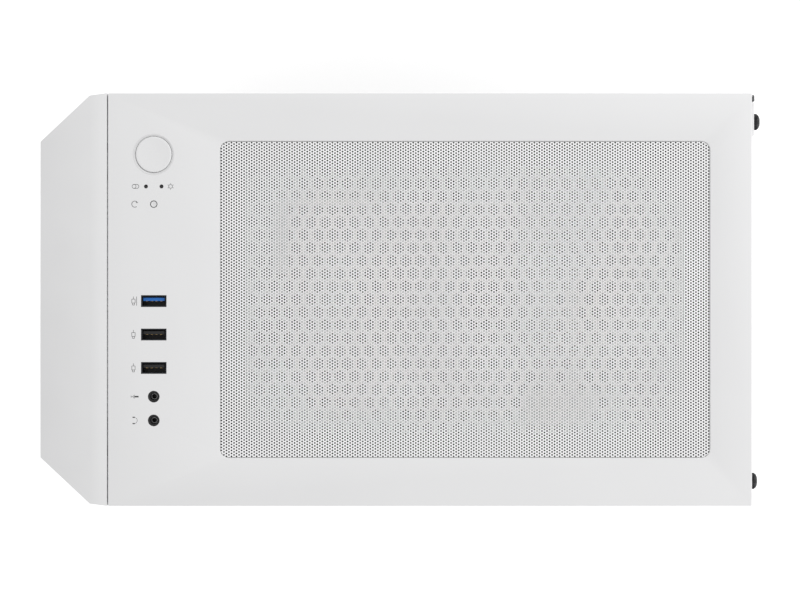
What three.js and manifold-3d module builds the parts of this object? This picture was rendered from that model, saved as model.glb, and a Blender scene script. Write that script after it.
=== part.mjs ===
// A white desktop computer tower with the parts that it needs inside.
// Millimetres, +Z up. The front faces -Y, the glass side faces -X and the steel side faces +X.
// Places along the depth are measured from the middle of the body, and the finished group is
// shifted so that its origin is on the ground below the middle of the bounding box.
import * as THREE from "three";
import { mergeVertices } from "three/addons/utils/BufferGeometryUtils.js";
import Module from "manifold-3d";

const wasm = await Module();
wasm.setup();

// Driving dimensions
const HALF_WIDTH = 105;
const FRONT = -183.7; // front face of the front panel
const REAR = 178.6; // rear edge of the top panel
const SCREW_END = 185; // rear end of the thumbscrews on the glass side
const TOP = 479.5; // outer face of the top panel
const SEAM = -149.3; // middle of the seam between the front panel and the top panel
const SEAM_HALF = 0.25;
const FLOOR = 18; // underside of the bottom pan
const SHEET = 1; // thickness of the steel panels
const GAP = 0.3; // clearance between pieces that meet

// The chassis box that the side panels cover
const CHASSIS_HALF = 97.5;
const PLATE_HALF = 96.2; // half width of the plates that stand between the pan's flanges
const PAN_TOP = FLOOR + SHEET;
const WALL_LOW = PAN_TOP + GAP;
const WALL_HIGH = TOP - SHEET - GAP;
const REAR_PLATE = [176.5, 176.5 + SHEET];
const FRONT_PLATE = [SEAM + 1.6, SEAM + 1.6 + SHEET];
const TRAY = [77, 77 + SHEET];
const SKIRT_LOW = 467; // lower edge of the top panel's skirts
const SIDE_RANGE = [20, SKIRT_LOW - 0.5]; // height of both side panels

// Front sockets and buttons, all on one line across the top panel
const IO_LINE = -125.7;
const POWER = { x: -73.8, cap: 9.1, hole: 9.5, travel: 1.2 };
const RESET = { x: -48.5, cap: 1.6, hole: 1.9, travel: 0.8 };
const LEDS = { x: -57.5, spread: 3.95, radius: 0.9, hole: 1.05 };
const PORT = { xs: [0.8, 17.8, 34.8], mouth: [6, 13], shell: [5.6, 12.6], bore: [4.9, 11.9] };
const JACK = { xs: [49.4, 61.5], hole: 3, barrel: 2.85, bore: 1.8 };
const SOCKET_TOP = TOP - 0.6;
const IO_BOARD = [462, 463.6];

// Sunk recess and the magnetic filter that lies in it
const RECESS = { x: 80.5, y: [-92, 157.2], depth: 1.8, radius: 4.5 };
const STRIP_WIDTH = 12;
const MESH_SHEET = 0.5;

// Fans
const FAN = { size: 120, depth: 25, bore: 58, tip: 56.5, hub: 20, blades: 9 };
const FRONT_FANS_Z = [118, 248, 378];
const FRONT_FAN_Y = [FRONT_PLATE[1] + GAP, FRONT_PLATE[1] + GAP + FAN.depth];
const REAR_FAN = { x: -36, z: 378, y: [REAR_PLATE[0] - GAP - FAN.depth, REAR_PLATE[0] - GAP] };

// Motherboard and what it carries
const BOARD = { x: [68.9, 70.5], y: [-70.3, 173.7], z: [121, 426] };
const PORTS = { x: [28.4, 72.8], z: [264, 422.7] };
const CPU = { y: 89, z: 336, socket: 45 };
const COOLER = { x: [-82, 38], y: [64, 114], half: 60, fins: 8 };
const MEMORY_SLOTS_Y = [2, 11.5, 21, 30.5];
const MEMORY_Z = [270, 403];
const SLOT_TOP = 253.5; // height of the topmost expansion slot
const SLOT_PITCH = 20.32;
const CARD = { x: [-55, 57.5], y: [-66, 172], z: [199, 234.9], well: 43, tip: 41.5, wells: [-8, 88] };

// Power supply, shroud and drives
const SUPPLY = { x: [-73.6, 76.4], y: [36.2, 176.2], z: [24.3, 110.3], well: 58.5, tip: 56 };
const INLET = { x: 45, z: 67, flange: [31, 24], body: [27.4, 19.8], mouth: [24.3, 16.5], depth: 15 };
const ROCKER = { x: 14, z: 67, size: [19, 13] };
const SHROUD = { x: [-96.2, 76], y: [-118.5, 176.2], top: 116.7 };
const CAGE = { x: [-75, 76.5], y: [-110.3, -4.1], z: [WALL_LOW, 92] };
const DRIVE = { x: [-72, 75], y: [-108, -6.4], z: [24, 50.1] };

// Front panel's push-in studs
const STUD = { x: 79.4, zs: [60, 430], radius: 2.6 };

// Side panels and their thumbscrews
const GLASS = { thick: 3.5, y: [SEAM + SEAM_HALF, 181.4] };
const FLANGE_IN = 84; // inner edge of the rear flanges
const THUMBSCREW = { head: 4.2, length: 3.6, shank: 1.8, hole: 2.4, heights: { low: 45, high: 458 } };
const SHANK_END = 170; // inner end of every thumbscrew
const SIDES = {
  left: { flange: [180.1, 181.1], screw: -91.5 },
  right: { flange: [178.8, 179.8], screw: 93.5 },
};

// Feet and the bottom filter
const FEET = { x: 82, ys: [-110, 145], size: [24, 60], pad: 3 };
const SLIDE_FILTER = { x: 64, y: [28, 172], z: [14.5, 16.1] };

// Finishes
const finish = (color, roughness, metalness = 0) =>
  new THREE.MeshStandardMaterial({ color, roughness, metalness });
const WHITE_STEEL = finish(0xe6e6e6, 0.55, 0.1);
const WHITE_PLASTIC = finish(0xe4e4e4, 0.45);
const WHITE_MESH = finish(0xe2e2e2, 0.6);
const BLACK_PLASTIC = finish(0x16171a, 0.5);
const BLACK_METAL = finish(0x1c1c1e, 0.4, 0.6);
const BARE_STEEL = finish(0xb4b6b8, 0.35, 0.9);
const ALUMINIUM = finish(0xc6c8ca, 0.3, 0.9);
const MAGNET = finish(0x241f1c, 0.8);
const RUBBER = finish(0x1a1a1a, 0.9);
const TINTED_GLASS = finish(0x2a2c30, 0.05);
const CIRCUIT_BOARD = finish(0x14181c, 0.5);
const BLUE_PLASTIC = finish(0x1f5fb0, 0.4);
const CABLE = finish(0x1b1b1d, 0.8);

// Turns a closed three.js geometry into a solid that can be joined and cut.
function solidOf(geometry) {
  const bare = geometry.index ? geometry.toNonIndexed() : geometry.clone();
  bare.deleteAttribute("normal");
  bare.deleteAttribute("uv");
  const merged = mergeVertices(bare, 1e-4);
  const vertProperties = merged.attributes.position.array;
  const triVerts = new Uint32Array(merged.index.array);
  return new wasm.Manifold(new wasm.Mesh({ numProp: 3, vertProperties, triVerts }));
}

// Turns a solid back into a three.js geometry, without the slivers that cutting leaves.
const SLIVER = 0.002;
function geometryOf(made) {
  const mesh = made.simplify(SLIVER).getMesh();
  const geometry = new THREE.BufferGeometry();
  geometry.setAttribute("position", new THREE.BufferAttribute(mesh.vertProperties, 3));
  geometry.setIndex(new THREE.BufferAttribute(mesh.triVerts, 1));
  geometry.computeVertexNormals();
  return geometry;
}

const tower = new THREE.Group();

// Adds a named piece to the tower.
function piece(name, made, material) {
  const mesh = new THREE.Mesh(geometryOf(made), material);
  mesh.name = name;
  tower.add(mesh);
}

const join = (first, ...others) => others.reduce((sum, other) => sum.add(other), first);
const cut = (first, ...others) => others.reduce((rest, other) => rest.subtract(other), first);
const around = (middle, half) => [middle - half, middle + half];
const grown = ([low, high], by) => [low - by, high + by];

// A block between two limits on each axis.
function block([x0, x1], [y0, y1], [z0, z1]) {
  const geometry = new THREE.BoxGeometry(x1 - x0, y1 - y0, z1 - z0);
  geometry.translate((x0 + x1) / 2, (y0 + y1) / 2, (z0 + z1) / 2);
  return solidOf(geometry);
}

// Carries a shape drawn in a plane to the plane across an axis. The shape's own axes are then
// y and z across the x axis, z and x across the y axis, and x and y across the z axis.
const AXES = {
  x: new THREE.Vector3(1, 0, 0),
  y: new THREE.Vector3(0, 1, 0),
  z: new THREE.Vector3(0, 0, 1),
};
const TURN = {
  x: new THREE.Matrix4().makeBasis(AXES.y, AXES.z, AXES.x),
  y: new THREE.Matrix4().makeBasis(AXES.z, AXES.x, AXES.y),
  z: new THREE.Matrix4(),
};

// A flat outline given thickness along an axis.
function extruded(axis, outline, [from, to], curveSegments = 6) {
  const depth = to - from;
  const geometry = new THREE.ExtrudeGeometry(outline, { depth, bevelEnabled: false, curveSegments });
  geometry.translate(0, 0, from);
  geometry.applyMatrix4(TURN[axis]);
  return solidOf(geometry);
}

const polygon = (points) => new THREE.Shape(points.map(([u, v]) => new THREE.Vector2(u, v)));

// A rectangle with round corners, drawn in the plane across an axis.
function roundedOutline([u0, u1], [v0, v1], radius) {
  const outline = new THREE.Shape();
  outline.moveTo(u0 + radius, v0);
  outline.lineTo(u1 - radius, v0);
  outline.absarc(u1 - radius, v0 + radius, radius, -Math.PI / 2, 0);
  outline.lineTo(u1, v1 - radius);
  outline.absarc(u1 - radius, v1 - radius, radius, 0, Math.PI / 2);
  outline.lineTo(u0 + radius, v1);
  outline.absarc(u0 + radius, v1 - radius, radius, Math.PI / 2, Math.PI);
  outline.lineTo(u0, v0 + radius);
  outline.absarc(u0 + radius, v0 + radius, radius, Math.PI, Math.PI * 1.5);
  return outline;
}

// A round bar along an axis, centred on a point of the plane across it.
function rod(axis, [u, v], radius, [from, to], sides = 16) {
  const geometry = new THREE.CylinderGeometry(radius, radius, to - from, sides);
  geometry.rotateX(Math.PI / 2);
  geometry.translate(u, v, (from + to) / 2);
  geometry.applyMatrix4(TURN[axis]);
  return solidOf(geometry);
}

// A turned solid: its profile lists radius and height along the axis, and starts and ends on it.
function turned(axis, [u, v], profile, sides = 24) {
  const points = profile.map(([radius, height]) => new THREE.Vector2(radius, height));
  const geometry = new THREE.LatheGeometry(points, sides);
  geometry.rotateX(Math.PI / 2);
  geometry.translate(u, v, 0);
  geometry.applyMatrix4(TURN[axis]);
  return solidOf(geometry);
}

// Chassis panels

function bottomPan() {
  const long = [FRONT_PLATE[0], REAR_PLATE[1]];
  const plate = block([-CHASSIS_HALF, CHASSIS_HALF], long, [FLOOR, PAN_TOP]);
  const flanges = [-1, 1].map((side) => {
    const edges = [side * CHASSIS_HALF, side * (CHASSIS_HALF - SHEET)].sort((a, b) => a - b);
    return block(edges, long, [FLOOR, FLOOR + 13]);
  });
  // Two rails under the supply hold the sliding dust filter.
  const railOuter = SLIDE_FILTER.x + 2.4;
  const lipHigh = SLIDE_FILTER.z[0] - GAP;
  const railLow = lipHigh - 1.4;
  const rails = [-1, 1].flatMap((side) => {
    const wall = [side * (SLIDE_FILTER.x + 0.4), side * railOuter].sort((a, b) => a - b);
    const lip = [side * (SLIDE_FILTER.x - 4), side * railOuter].sort((a, b) => a - b);
    return [
      block(wall, SLIDE_FILTER.y, [railLow, FLOOR]),
      block(lip, SLIDE_FILTER.y, [railLow, lipHigh]),
    ];
  });
  const slots = [0, 1, 2, 3, 4].map((i) => {
    const x = around(-40 + 20 * i, 6);
    return block(x, [52, 152], [FLOOR - 1, PAN_TOP + 1]);
  });
  return cut(join(plate, ...flanges, ...rails), ...slots);
}

function roundHoles(range, xs, zs, radius) {
  return xs.flatMap((x) => zs.map((z) => rod("y", [z, x], radius, range, 10)));
}

function screwHoles(range, side) {
  return roundHoles(range, [SIDES[side].screw], Object.values(THUMBSCREW.heights), THUMBSCREW.hole);
}

function rearPanel() {
  const plate = block([-PLATE_HALF, PLATE_HALF], REAR_PLATE, [WALL_LOW, WALL_HIGH]);
  const through = grown(REAR_PLATE, 1);
  const ports = block(PORTS.x, through, PORTS.z);
  const supply = block(grown(SUPPLY.x, -4), through, grown(SUPPLY.z, -4));
  const cardSlots = [1, 2].map((i) => {
    const z = around(SLOT_TOP - SLOT_PITCH * i, 6.3);
    return block([-46, 56], through, z);
  });
  const vent = rod("y", [REAR_FAN.z, REAR_FAN.x], 57, through, 32);
  const bars = [0, 1, 2].map((i) => {
    const z = around(REAR_FAN.z - 28 + 28 * i, 2);
    return block(around(REAR_FAN.x, 58), REAR_PLATE, z);
  });
  const screws = Object.keys(SIDES).flatMap((side) => screwHoles(through, side));
  return join(cut(plate, ports, supply, ...cardSlots, vent, ...screws), ...bars);
}

function motherboardTray() {
  const plate = block(TRAY, [-105, 176.2], [WALL_LOW, TOP - RECESS.depth - SHEET - GAP]);
  const through = grown(TRAY, 1);
  const coolerAccess = block(through, around(CPU.y, 40), around(CPU.z, 47));
  const cableSlots = [170, 235, 300].map((z) => {
    return extruded("x", roundedOutline([-102, -78], [z, z + 52], 6), through, 3);
  });
  const driveAccess = block(through, [-112, 32], [WALL_LOW - 1, 105]);
  // Nine standoffs carry the motherboard.
  const standoffs = [-60, 30, 160].flatMap((y) =>
    [130, 270, 418].map((z) => rod("x", [y, z], 3, [BOARD.x[1] + GAP, TRAY[0] + 0.2], 6)),
  );
  return join(cut(plate, coolerAccess, ...cableSlots, driveAccess), ...standoffs);
}

function frontChassis() {
  const plate = block([-PLATE_HALF, PLATE_HALF], FRONT_PLATE, [WALL_LOW, WALL_HIGH]);
  const through = grown(FRONT_PLATE, 1);
  const openings = FRONT_FANS_Z.map((z) => rod("y", [z, 0], FAN.bore, through, 32));
  const studHoles = roundHoles(through, [-STUD.x, STUD.x], STUD.zs, STUD.radius + 0.5);
  return cut(plate, ...openings, ...studHoles);
}

// The top panel is one sheet with skirts, a sunk recess and the openings for sockets and buttons.
function topPanel() {
  const low = TOP - SHEET;
  const long = [SEAM + SEAM_HALF, REAR];
  const outer = block([-HALF_WIDTH, HALF_WIDTH], long, [SKIRT_LOW, TOP]);
  const hollow = block(around(0, HALF_WIDTH - SHEET), [long[0] + SHEET, 177.8], [SKIRT_LOW - 1, low]);
  const floor = TOP - RECESS.depth;
  const recess = roundedOutline(around(0, RECESS.x), RECESS.y, RECESS.radius);
  const pan = roundedOutline(around(0, RECESS.x + SHEET), grown(RECESS.y, SHEET), RECESS.radius + SHEET);
  const sunk = cut(
    join(cut(outer, hollow), extruded("z", pan, [floor - SHEET, TOP - 0.5], 4)),
    extruded("z", recess, [floor, TOP + 1], 4),
  );
  const through = [low - 1, TOP + 1];
  const [mouthX, mouthY] = PORT.mouth;
  const sockets = PORT.xs.map((x) => block(around(x, mouthX / 2), around(IO_LINE, mouthY / 2), through));
  const jacks = JACK.xs.map((x) => rod("z", [x, IO_LINE], JACK.hole, through, 20));
  const leds = [-1, 1].map((side) => {
    return rod("z", [LEDS.x, IO_LINE + side * LEDS.spread], LEDS.hole, through, 10);
  });
  // The hole for the power button widens in a bevelled ring.
  const ring = [
    [0, low - 1],
    [POWER.hole, low - 1],
    [POWER.hole, TOP - 0.7],
    [POWER.hole + 1.4, TOP + 0.7],
    [0, TOP + 0.7],
  ];
  const power = turned("z", [POWER.x, IO_LINE], ring, 32);
  const reset = rod("z", [RESET.x, IO_LINE], RESET.hole, through, 16);
  return cut(sunk, ...sockets, ...jacks, ...leds, power, reset);
}

function supplyShroud() {
  const top = block(SHROUD.x, SHROUD.y, [SHROUD.top - SHEET, SHROUD.top]);
  const wall = block([SHROUD.x[0], SHROUD.x[0] + SHEET], SHROUD.y, [WALL_LOW, SHROUD.top]);
  const through = [SHROUD.top - SHEET - 1, SHROUD.top + 1];
  const cableHoles = [-40, 60].map((y) => {
    return extruded("z", roundedOutline([20, 44], [y, y + 46], 5), through, 3);
  });
  return cut(join(top, wall), ...cableHoles);
}

function driveCage() {
  const outer = block(CAGE.x, CAGE.y, CAGE.z);
  const inner = block(grown(CAGE.x, 1), grown(CAGE.y, -SHEET), [CAGE.z[0] + SHEET, CAGE.z[1] - SHEET]);
  // Two lips divide the cage into a lower bay and an upper bay.
  const lips = [
    [CAGE.y[0], CAGE.y[0] + 9],
    [CAGE.y[1] - 9, CAGE.y[1]],
  ].map((y) => block(CAGE.x, y, [54, 55]));
  return join(cut(outer, inner), ...lips);
}

piece("bottom_pan", bottomPan(), WHITE_STEEL);
piece("rear_panel", rearPanel(), WHITE_STEEL);
piece("motherboard_tray", motherboardTray(), WHITE_STEEL);
piece("front_chassis", frontChassis(), WHITE_STEEL);
piece("top_panel", topPanel(), WHITE_STEEL);
piece("supply_shroud", supplyShroud(), BLACK_METAL);
piece("drive_cage", driveCage(), WHITE_STEEL);

// Fans

// A square fan frame with a round bore, four struts and a motor seat at its outlet end.
// flow is 1 where the outlet is at the high end of the axis and -1 where it is at the low end.
function fanFrame(axis, [u, v], [from, to], flow) {
  const half = FAN.size / 2;
  const square = extruded(axis, roundedOutline(around(u, half), around(v, half), 6), [from, to], 2);
  const bore = rod(axis, [u, v], FAN.bore, [from - 1, to + 1], 36);
  const seatRange = flow > 0 ? [to - 4, to] : [from, from + 4];
  const seat = rod(axis, [u, v], FAN.hub + 1, seatRange, 20);
  const reach = FAN.bore + 1;
  const across = extruded(axis, polygon(barOutline(u, v, reach, 2.2, Math.PI / 4)), seatRange);
  const other = extruded(axis, polygon(barOutline(u, v, reach, 2.2, -Math.PI / 4)), seatRange);
  const shaftHole = rod(axis, [u, v], 2.2, grown(seatRange, 1), 12);
  return cut(join(cut(square, bore), seat, across, other), shaftHole);
}

// The corners of a bar through a point, at an angle, given its half length and half width.
function barOutline(u, v, halfLength, halfWidth, angle) {
  const [c, s] = [Math.cos(angle), Math.sin(angle)];
  const corners = [[-1, -1], [1, -1], [1, 1], [-1, 1]];
  return corners.map(([i, j]) => {
    const [a, b] = [i * halfLength, j * halfWidth];
    return [u + a * c - b * s, v + a * s + b * c];
  });
}

// A fan rotor: a hub with pitched blades and a shaft that runs in the motor seat.
function fanRotor(axis, [u, v], [from, to], { hub, tip, blades, shaftEnd }) {
  const depth = to - from;
  const middle = (from + to) / 2;
  const hubSolid = rod(axis, [u, v], hub, [from, to], 20);
  const vanes = Array.from({ length: blades }, (_, i) => {
    const chord = ((tip + hub) * Math.PI) / blades / 1.7;
    const vane = new THREE.BoxGeometry(tip - hub + 2, chord, 1.6);
    vane.translate((tip + hub) / 2 - 1, 0, 0);
    vane.rotateX(Math.asin(Math.min(0.9, (depth * 0.8) / chord)));
    vane.rotateZ(((i + 0.3) * 2 * Math.PI) / blades);
    vane.translate(u, v, middle);
    vane.applyMatrix4(TURN[axis]);
    return solidOf(vane);
  });
  const shaft = rod(axis, [u, v], 1.7, [Math.min(middle, shaftEnd), Math.max(middle, shaftEnd)], 12);
  const sweep = rod(axis, [u, v], tip, [from, to], 36);
  return join(hubSolid, join(...vanes).intersect(sweep), shaft);
}

const CASE_ROTOR = { hub: FAN.hub, tip: FAN.tip, blades: FAN.blades };
const rotorRange = ([from, to], flow) => (flow > 0 ? [from + 1.5, to - 5] : [from + 5, to - 1.5]);

["bottom", "middle", "top"].forEach((level, i) => {
  const centre = [FRONT_FANS_Z[i], 0];
  piece(`front_fan_frame_${level}`, fanFrame("y", centre, FRONT_FAN_Y, 1), BLACK_PLASTIC);
  const rotor = fanRotor("y", centre, rotorRange(FRONT_FAN_Y, 1), {
    ...CASE_ROTOR,
    shaftEnd: FRONT_FAN_Y[1] - 1,
  });
  piece(`front_fan_rotor_${level}`, rotor, WHITE_PLASTIC);
});

const REAR_FAN_CENTRE = [REAR_FAN.z, REAR_FAN.x];
piece("rear_fan_frame", fanFrame("y", REAR_FAN_CENTRE, REAR_FAN.y, 1), BLACK_PLASTIC);
const rearRotor = fanRotor("y", REAR_FAN_CENTRE, rotorRange(REAR_FAN.y, 1), {
  ...CASE_ROTOR,
  shaftEnd: REAR_FAN.y[1] - 1,
});
piece("rear_fan_rotor", rearRotor, WHITE_PLASTIC);

// Motherboard with the slots and sockets that are soldered to it

function motherboard() {
  const face = BOARD.x[0] + 0.2;
  const board = block(BOARD.x, BOARD.y, BOARD.z);
  const memorySlots = MEMORY_SLOTS_Y.map((y) => block([62.9, face], around(y, 3.5), grown(MEMORY_Z, 3)));
  const socket = block([62.9, face], around(CPU.y, CPU.socket / 2), around(CPU.z, CPU.socket / 2));
  const cardSlots = [1, 4].map((i) => {
    const z = around(SLOT_TOP - SLOT_PITCH * i, 3.8);
    return block([57.8, face], [38, 127], z);
  });
  const rearPorts = block([33, face], [148, 175.9], [268, 400]);
  const powerSocket = block([56, face], [-68, -57], [300, 352]);
  const regulatorSink = block([42, face], [118, 146], [300, 410]);
  const bridgeSink = block([61, face], [-40, 10], [150, 196]);
  return join(
    board,
    ...memorySlots,
    socket,
    ...cardSlots,
    rearPorts,
    powerSocket,
    regulatorSink,
    bridgeSink,
  );
}

const shieldRange = [176.1, 176.9];
const shield = block(grown(PORTS.x, -GAP), shieldRange, grown(PORTS.z, -GAP));

// Tower cooler: a base on the processor, a spine of heat pipes and a stack of fins.
function processorHeatsink() {
  const base = block([50, 62.6], around(CPU.y, 20), around(CPU.z, 20));
  const spine = block([COOLER.x[0], 50.2], around(CPU.y, 4), around(CPU.z, 36));
  const pitch = (COOLER.x[1] - COOLER.x[0] - 4) / (COOLER.fins - 1);
  const fins = Array.from({ length: COOLER.fins }, (_, i) => {
    const x = COOLER.x[0] + pitch * i;
    return block([x, x + 4], COOLER.y, around(CPU.z, COOLER.half));
  });
  return join(base, spine, ...fins);
}

const COOLER_FAN_Y = [COOLER.y[0] - GAP - FAN.depth, COOLER.y[0] - GAP];
const COOLER_FAN_CENTRE = [CPU.z, (COOLER.x[0] + COOLER.x[1]) / 2];
const coolerRotor = fanRotor("y", COOLER_FAN_CENTRE, rotorRange(COOLER_FAN_Y, 1), {
  ...CASE_ROTOR,
  shaftEnd: COOLER_FAN_Y[1] - 1,
});

piece("motherboard", motherboard(), CIRCUIT_BOARD);
piece("port_shield", shield, BARE_STEEL);
piece("cpu_heatsink", processorHeatsink(), BLACK_METAL);
piece("cpu_fan_frame", fanFrame("y", COOLER_FAN_CENTRE, COOLER_FAN_Y, 1), BLACK_PLASTIC);
piece("cpu_fan_rotor", coolerRotor, BLACK_PLASTIC);
[MEMORY_SLOTS_Y[1], MEMORY_SLOTS_Y[3]].forEach((y, i) => {
  piece(`memory_module_${i + 1}`, block([28, 62.6], around(y, 3.2), MEMORY_Z), BLACK_METAL);
});

// Graphics card: board with backplate on top, shroud with two fan wells below, bracket at the rear

const wellMiddle = (CARD.x[0] + CARD.x[1]) / 2;
const wellRange = [CARD.z[0], CARD.z[0] + 13];

function cardShroud() {
  const body = block(CARD.x, CARD.y, CARD.z);
  const wells = CARD.wells.map((y) => {
    return rod("z", [wellMiddle, y], CARD.well, [wellRange[0] - 1, wellRange[1]], 32);
  });
  const shaftHoles = CARD.wells.map((y) => {
    return rod("z", [wellMiddle, y], 2.2, [wellRange[1] - 1, wellRange[1] + 8], 12);
  });
  return cut(body, ...wells, ...shaftHoles);
}

function cardBracket() {
  const plate = block([-58, 60], [173.2, 174.2], [204, 243]);
  const tab = block([-58, -57], [173.2, 176.2], [204, 243]);
  return join(plate, tab);
}

piece("graphics_card_shroud", cardShroud(), BLACK_PLASTIC);
piece("graphics_card_board", block(CARD.x, CARD.y, [CARD.z[1] + GAP, CARD.z[1] + GAP + 3]), BLACK_METAL);
piece("graphics_card_bracket", cardBracket(), BARE_STEEL);
CARD.wells.forEach((y, i) => {
  const rotor = fanRotor("z", [wellMiddle, y], [wellRange[0] + 0.6, wellRange[1] - 1.5], {
    hub: 15,
    tip: CARD.tip,
    blades: FAN.blades,
    shaftEnd: wellRange[1] + 6,
  });
  piece(`graphics_fan_rotor_${i + 1}`, rotor, BLACK_PLASTIC);
});

// Power supply with its mains inlet, rocker switch and fan

const SUPPLY_CENTRE = [(SUPPLY.x[0] + SUPPLY.x[1]) / 2, 102];
const supplyWell = [SUPPLY.z[0], SUPPLY.z[0] + 22];

// The case is a sheet box. Struts hold the fan's seat, and the circuit hangs below the top wall.
function supplyCase() {
  const wall = 1.2;
  const shell = cut(
    block(SUPPLY.x, SUPPLY.y, SUPPLY.z),
    block(grown(SUPPLY.x, -wall), grown(SUPPLY.y, -wall), grown(SUPPLY.z, -wall)),
  );
  const intake = rod("z", SUPPLY_CENTRE, SUPPLY.well, [SUPPLY.z[0] - 1, SUPPLY.z[0] + 2], 36);
  const seatRange = [supplyWell[1], supplyWell[1] + 5];
  const seat = rod("z", SUPPLY_CENTRE, FAN.hub + 1, seatRange, 20);
  const strut = block(grown(SUPPLY.x, -wall / 2), around(SUPPLY_CENTRE[1], 3), seatRange);
  const circuit = block([-50, 52], [52, 150], [97, SUPPLY.z[1] - wall / 2]);
  const shaftHole = rod("z", SUPPLY_CENTRE, 2.2, grown(seatRange, 1), 12);
  const rear = [SUPPLY.y[1] - 3, SUPPLY.y[1] + 1];
  const [bodyX, bodyZ] = INLET.body;
  const inletHole = block(around(INLET.x, bodyX / 2 + GAP), rear, around(INLET.z, bodyZ / 2 + GAP));
  const [rockerX, rockerZ] = ROCKER.size;
  const rockerHole = block(around(ROCKER.x, rockerX / 2), rear, around(ROCKER.z, rockerZ / 2));
  return cut(join(shell, seat, strut, circuit), intake, shaftHole, inletHole, rockerHole);
}

function mainsInlet() {
  const face = SUPPLY.y[1] + GAP;
  const rim = face + 1.4;
  const sized = ([width, height], y) => {
    return block(around(INLET.x, width / 2), y, around(INLET.z, height / 2));
  };
  const flange = sized(INLET.flange, [face, rim]);
  const body = sized(INLET.body, [face - 17, face + 0.1]);
  const mouth = sized(INLET.mouth, [rim - INLET.depth, rim + 1]);
  return cut(join(flange, body), mouth);
}

// The rocker turns about a pin along X, and its face is a shallow V.
function rockerSwitch() {
  const face = SUPPLY.y[1];
  const half = ROCKER.size[1] / 2 - 0.9;
  const outline = polygon([
    [face - 5, ROCKER.z - half + 1.5],
    [face + 0.4, ROCKER.z - half],
    [face - 0.2, ROCKER.z],
    [face + 1.6, ROCKER.z + half],
    [face - 5, ROCKER.z + half - 1.5],
  ]);
  return extruded("x", outline, around(ROCKER.x, ROCKER.size[0] / 2 - GAP));
}

const supplyRotor = fanRotor("z", SUPPLY_CENTRE, [supplyWell[0] + 1.5, supplyWell[1] - 2], {
  ...CASE_ROTOR,
  tip: SUPPLY.tip,
  shaftEnd: supplyWell[1] + 6,
});

piece("supply_case", supplyCase(), BLACK_METAL);
piece("mains_inlet", mainsInlet(), BLACK_PLASTIC);
piece("supply_rocker", rockerSwitch(), BLACK_PLASTIC);
piece("supply_fan_rotor", supplyRotor, BLACK_PLASTIC);

// Drives
piece("hard_drive", block(DRIVE.x, DRIVE.y, DRIVE.z), ALUMINIUM);
const ssdLow = SHROUD.top + GAP;
piece("solid_state_drive", block([-75, -5], [-100, 0], [ssdLow, ssdLow + 7]), BLACK_METAL);

// The main power cable runs from the motherboard through the tray and down behind it to the supply.
function powerCable() {
  const route = new THREE.CatmullRomCurve3(
    [
      [55.6, -62.5, 326],
      [42, -63, 326],
      [35, -76, 326],
      [46, -90, 326],
      [68, -91, 326],
      [83, -90, 320],
      [88, -84, 290],
      [88, -70, 220],
      [88, -46, 130],
      [88, -22, 86],
      [86, -6, 74],
      [78, 10, 68],
      [64, 20, 65],
      [58, 30, 64],
      [58, 35.7, 64],
    ].map(([x, y, z]) => new THREE.Vector3(x, y, z)),
  );
  const section = polygon(
    Array.from({ length: 8 }, (_, i) => [6 * Math.cos((i * Math.PI) / 4), 6 * Math.sin((i * Math.PI) / 4)]),
  );
  return solidOf(new THREE.ExtrudeGeometry(section, { steps: 40, extrudePath: route }));
}

piece("main_power_cable", powerCable(), CABLE);

// Front sockets, buttons and light pipe under the top panel

function ioBoard() {
  const board = block([-86, 72], around(IO_LINE, 11), IO_BOARD);
  // One tactile switch stands under each button.
  const switches = [POWER.x, RESET.x].map((x) => {
    return block(around(x, 3), around(IO_LINE, 3), [IO_BOARD[1] - 0.2, IO_BOARD[1] + 4.3]);
  });
  return join(board, ...switches);
}

function ioBracket() {
  const base = block([-89, 75], around(IO_LINE, 14), [458.5, 460.5]);
  const posts = [-88, 74].flatMap((x) => {
    return [-12.5, 12.5].map((dy) => {
      return block(around(x, 1), around(IO_LINE + dy, 1.5), [460.3, TOP - SHEET - GAP]);
    });
  });
  return join(base, ...posts);
}

// A data socket: a thin steel shell open at the top, with the contact tongue off its middle.
function dataSocket(x) {
  const low = IO_BOARD[1] + GAP;
  const [shellX, shellY] = PORT.shell;
  const [boreX, boreY] = PORT.bore;
  const shell = block(around(x, shellX / 2), around(IO_LINE, shellY / 2), [low, SOCKET_TOP]);
  const bore = block(around(x, boreX / 2), around(IO_LINE, boreY / 2), [low + 1.5, SOCKET_TOP + 1]);
  const tongue = block(around(x - 0.9, 0.85), around(IO_LINE, 5.5), [low + 1, SOCKET_TOP - 1.2]);
  return join(cut(shell, bore), tongue);
}

function jackSocket(x) {
  const low = IO_BOARD[1] + GAP;
  const base = block(around(x, 3.2), around(IO_LINE, 5.8), [low, low + 8]);
  const barrel = rod("z", [x, IO_LINE], JACK.barrel, [low + 7, SOCKET_TOP], 20);
  const bore = rod("z", [x, IO_LINE], JACK.bore, [low + 1.5, SOCKET_TOP + 1], 16);
  return cut(join(base, barrel), bore);
}

function powerButton() {
  const top = TOP + 0.5;
  const profile = [
    [0, 469.4],
    [2.5, 469.4],
    [2.5, 475],
    [POWER.cap + 1, 475],
    [POWER.cap + 1, 476.6],
    [POWER.cap, 476.6],
    [POWER.cap, top - 0.5],
    [POWER.cap - 0.5, top],
    [0, top - 0.3],
  ];
  return turned("z", [POWER.x, IO_LINE], profile, 32);
}

function resetButton() {
  const profile = [
    [0, 469],
    [1.2, 469],
    [1.2, 473],
    [2.6, 473],
    [2.6, 474.5],
    [RESET.cap, 474.5],
    [RESET.cap, TOP - 0.4],
    [0, TOP - 0.3],
  ];
  return turned("z", [RESET.x, IO_LINE], profile, 16);
}

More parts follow.
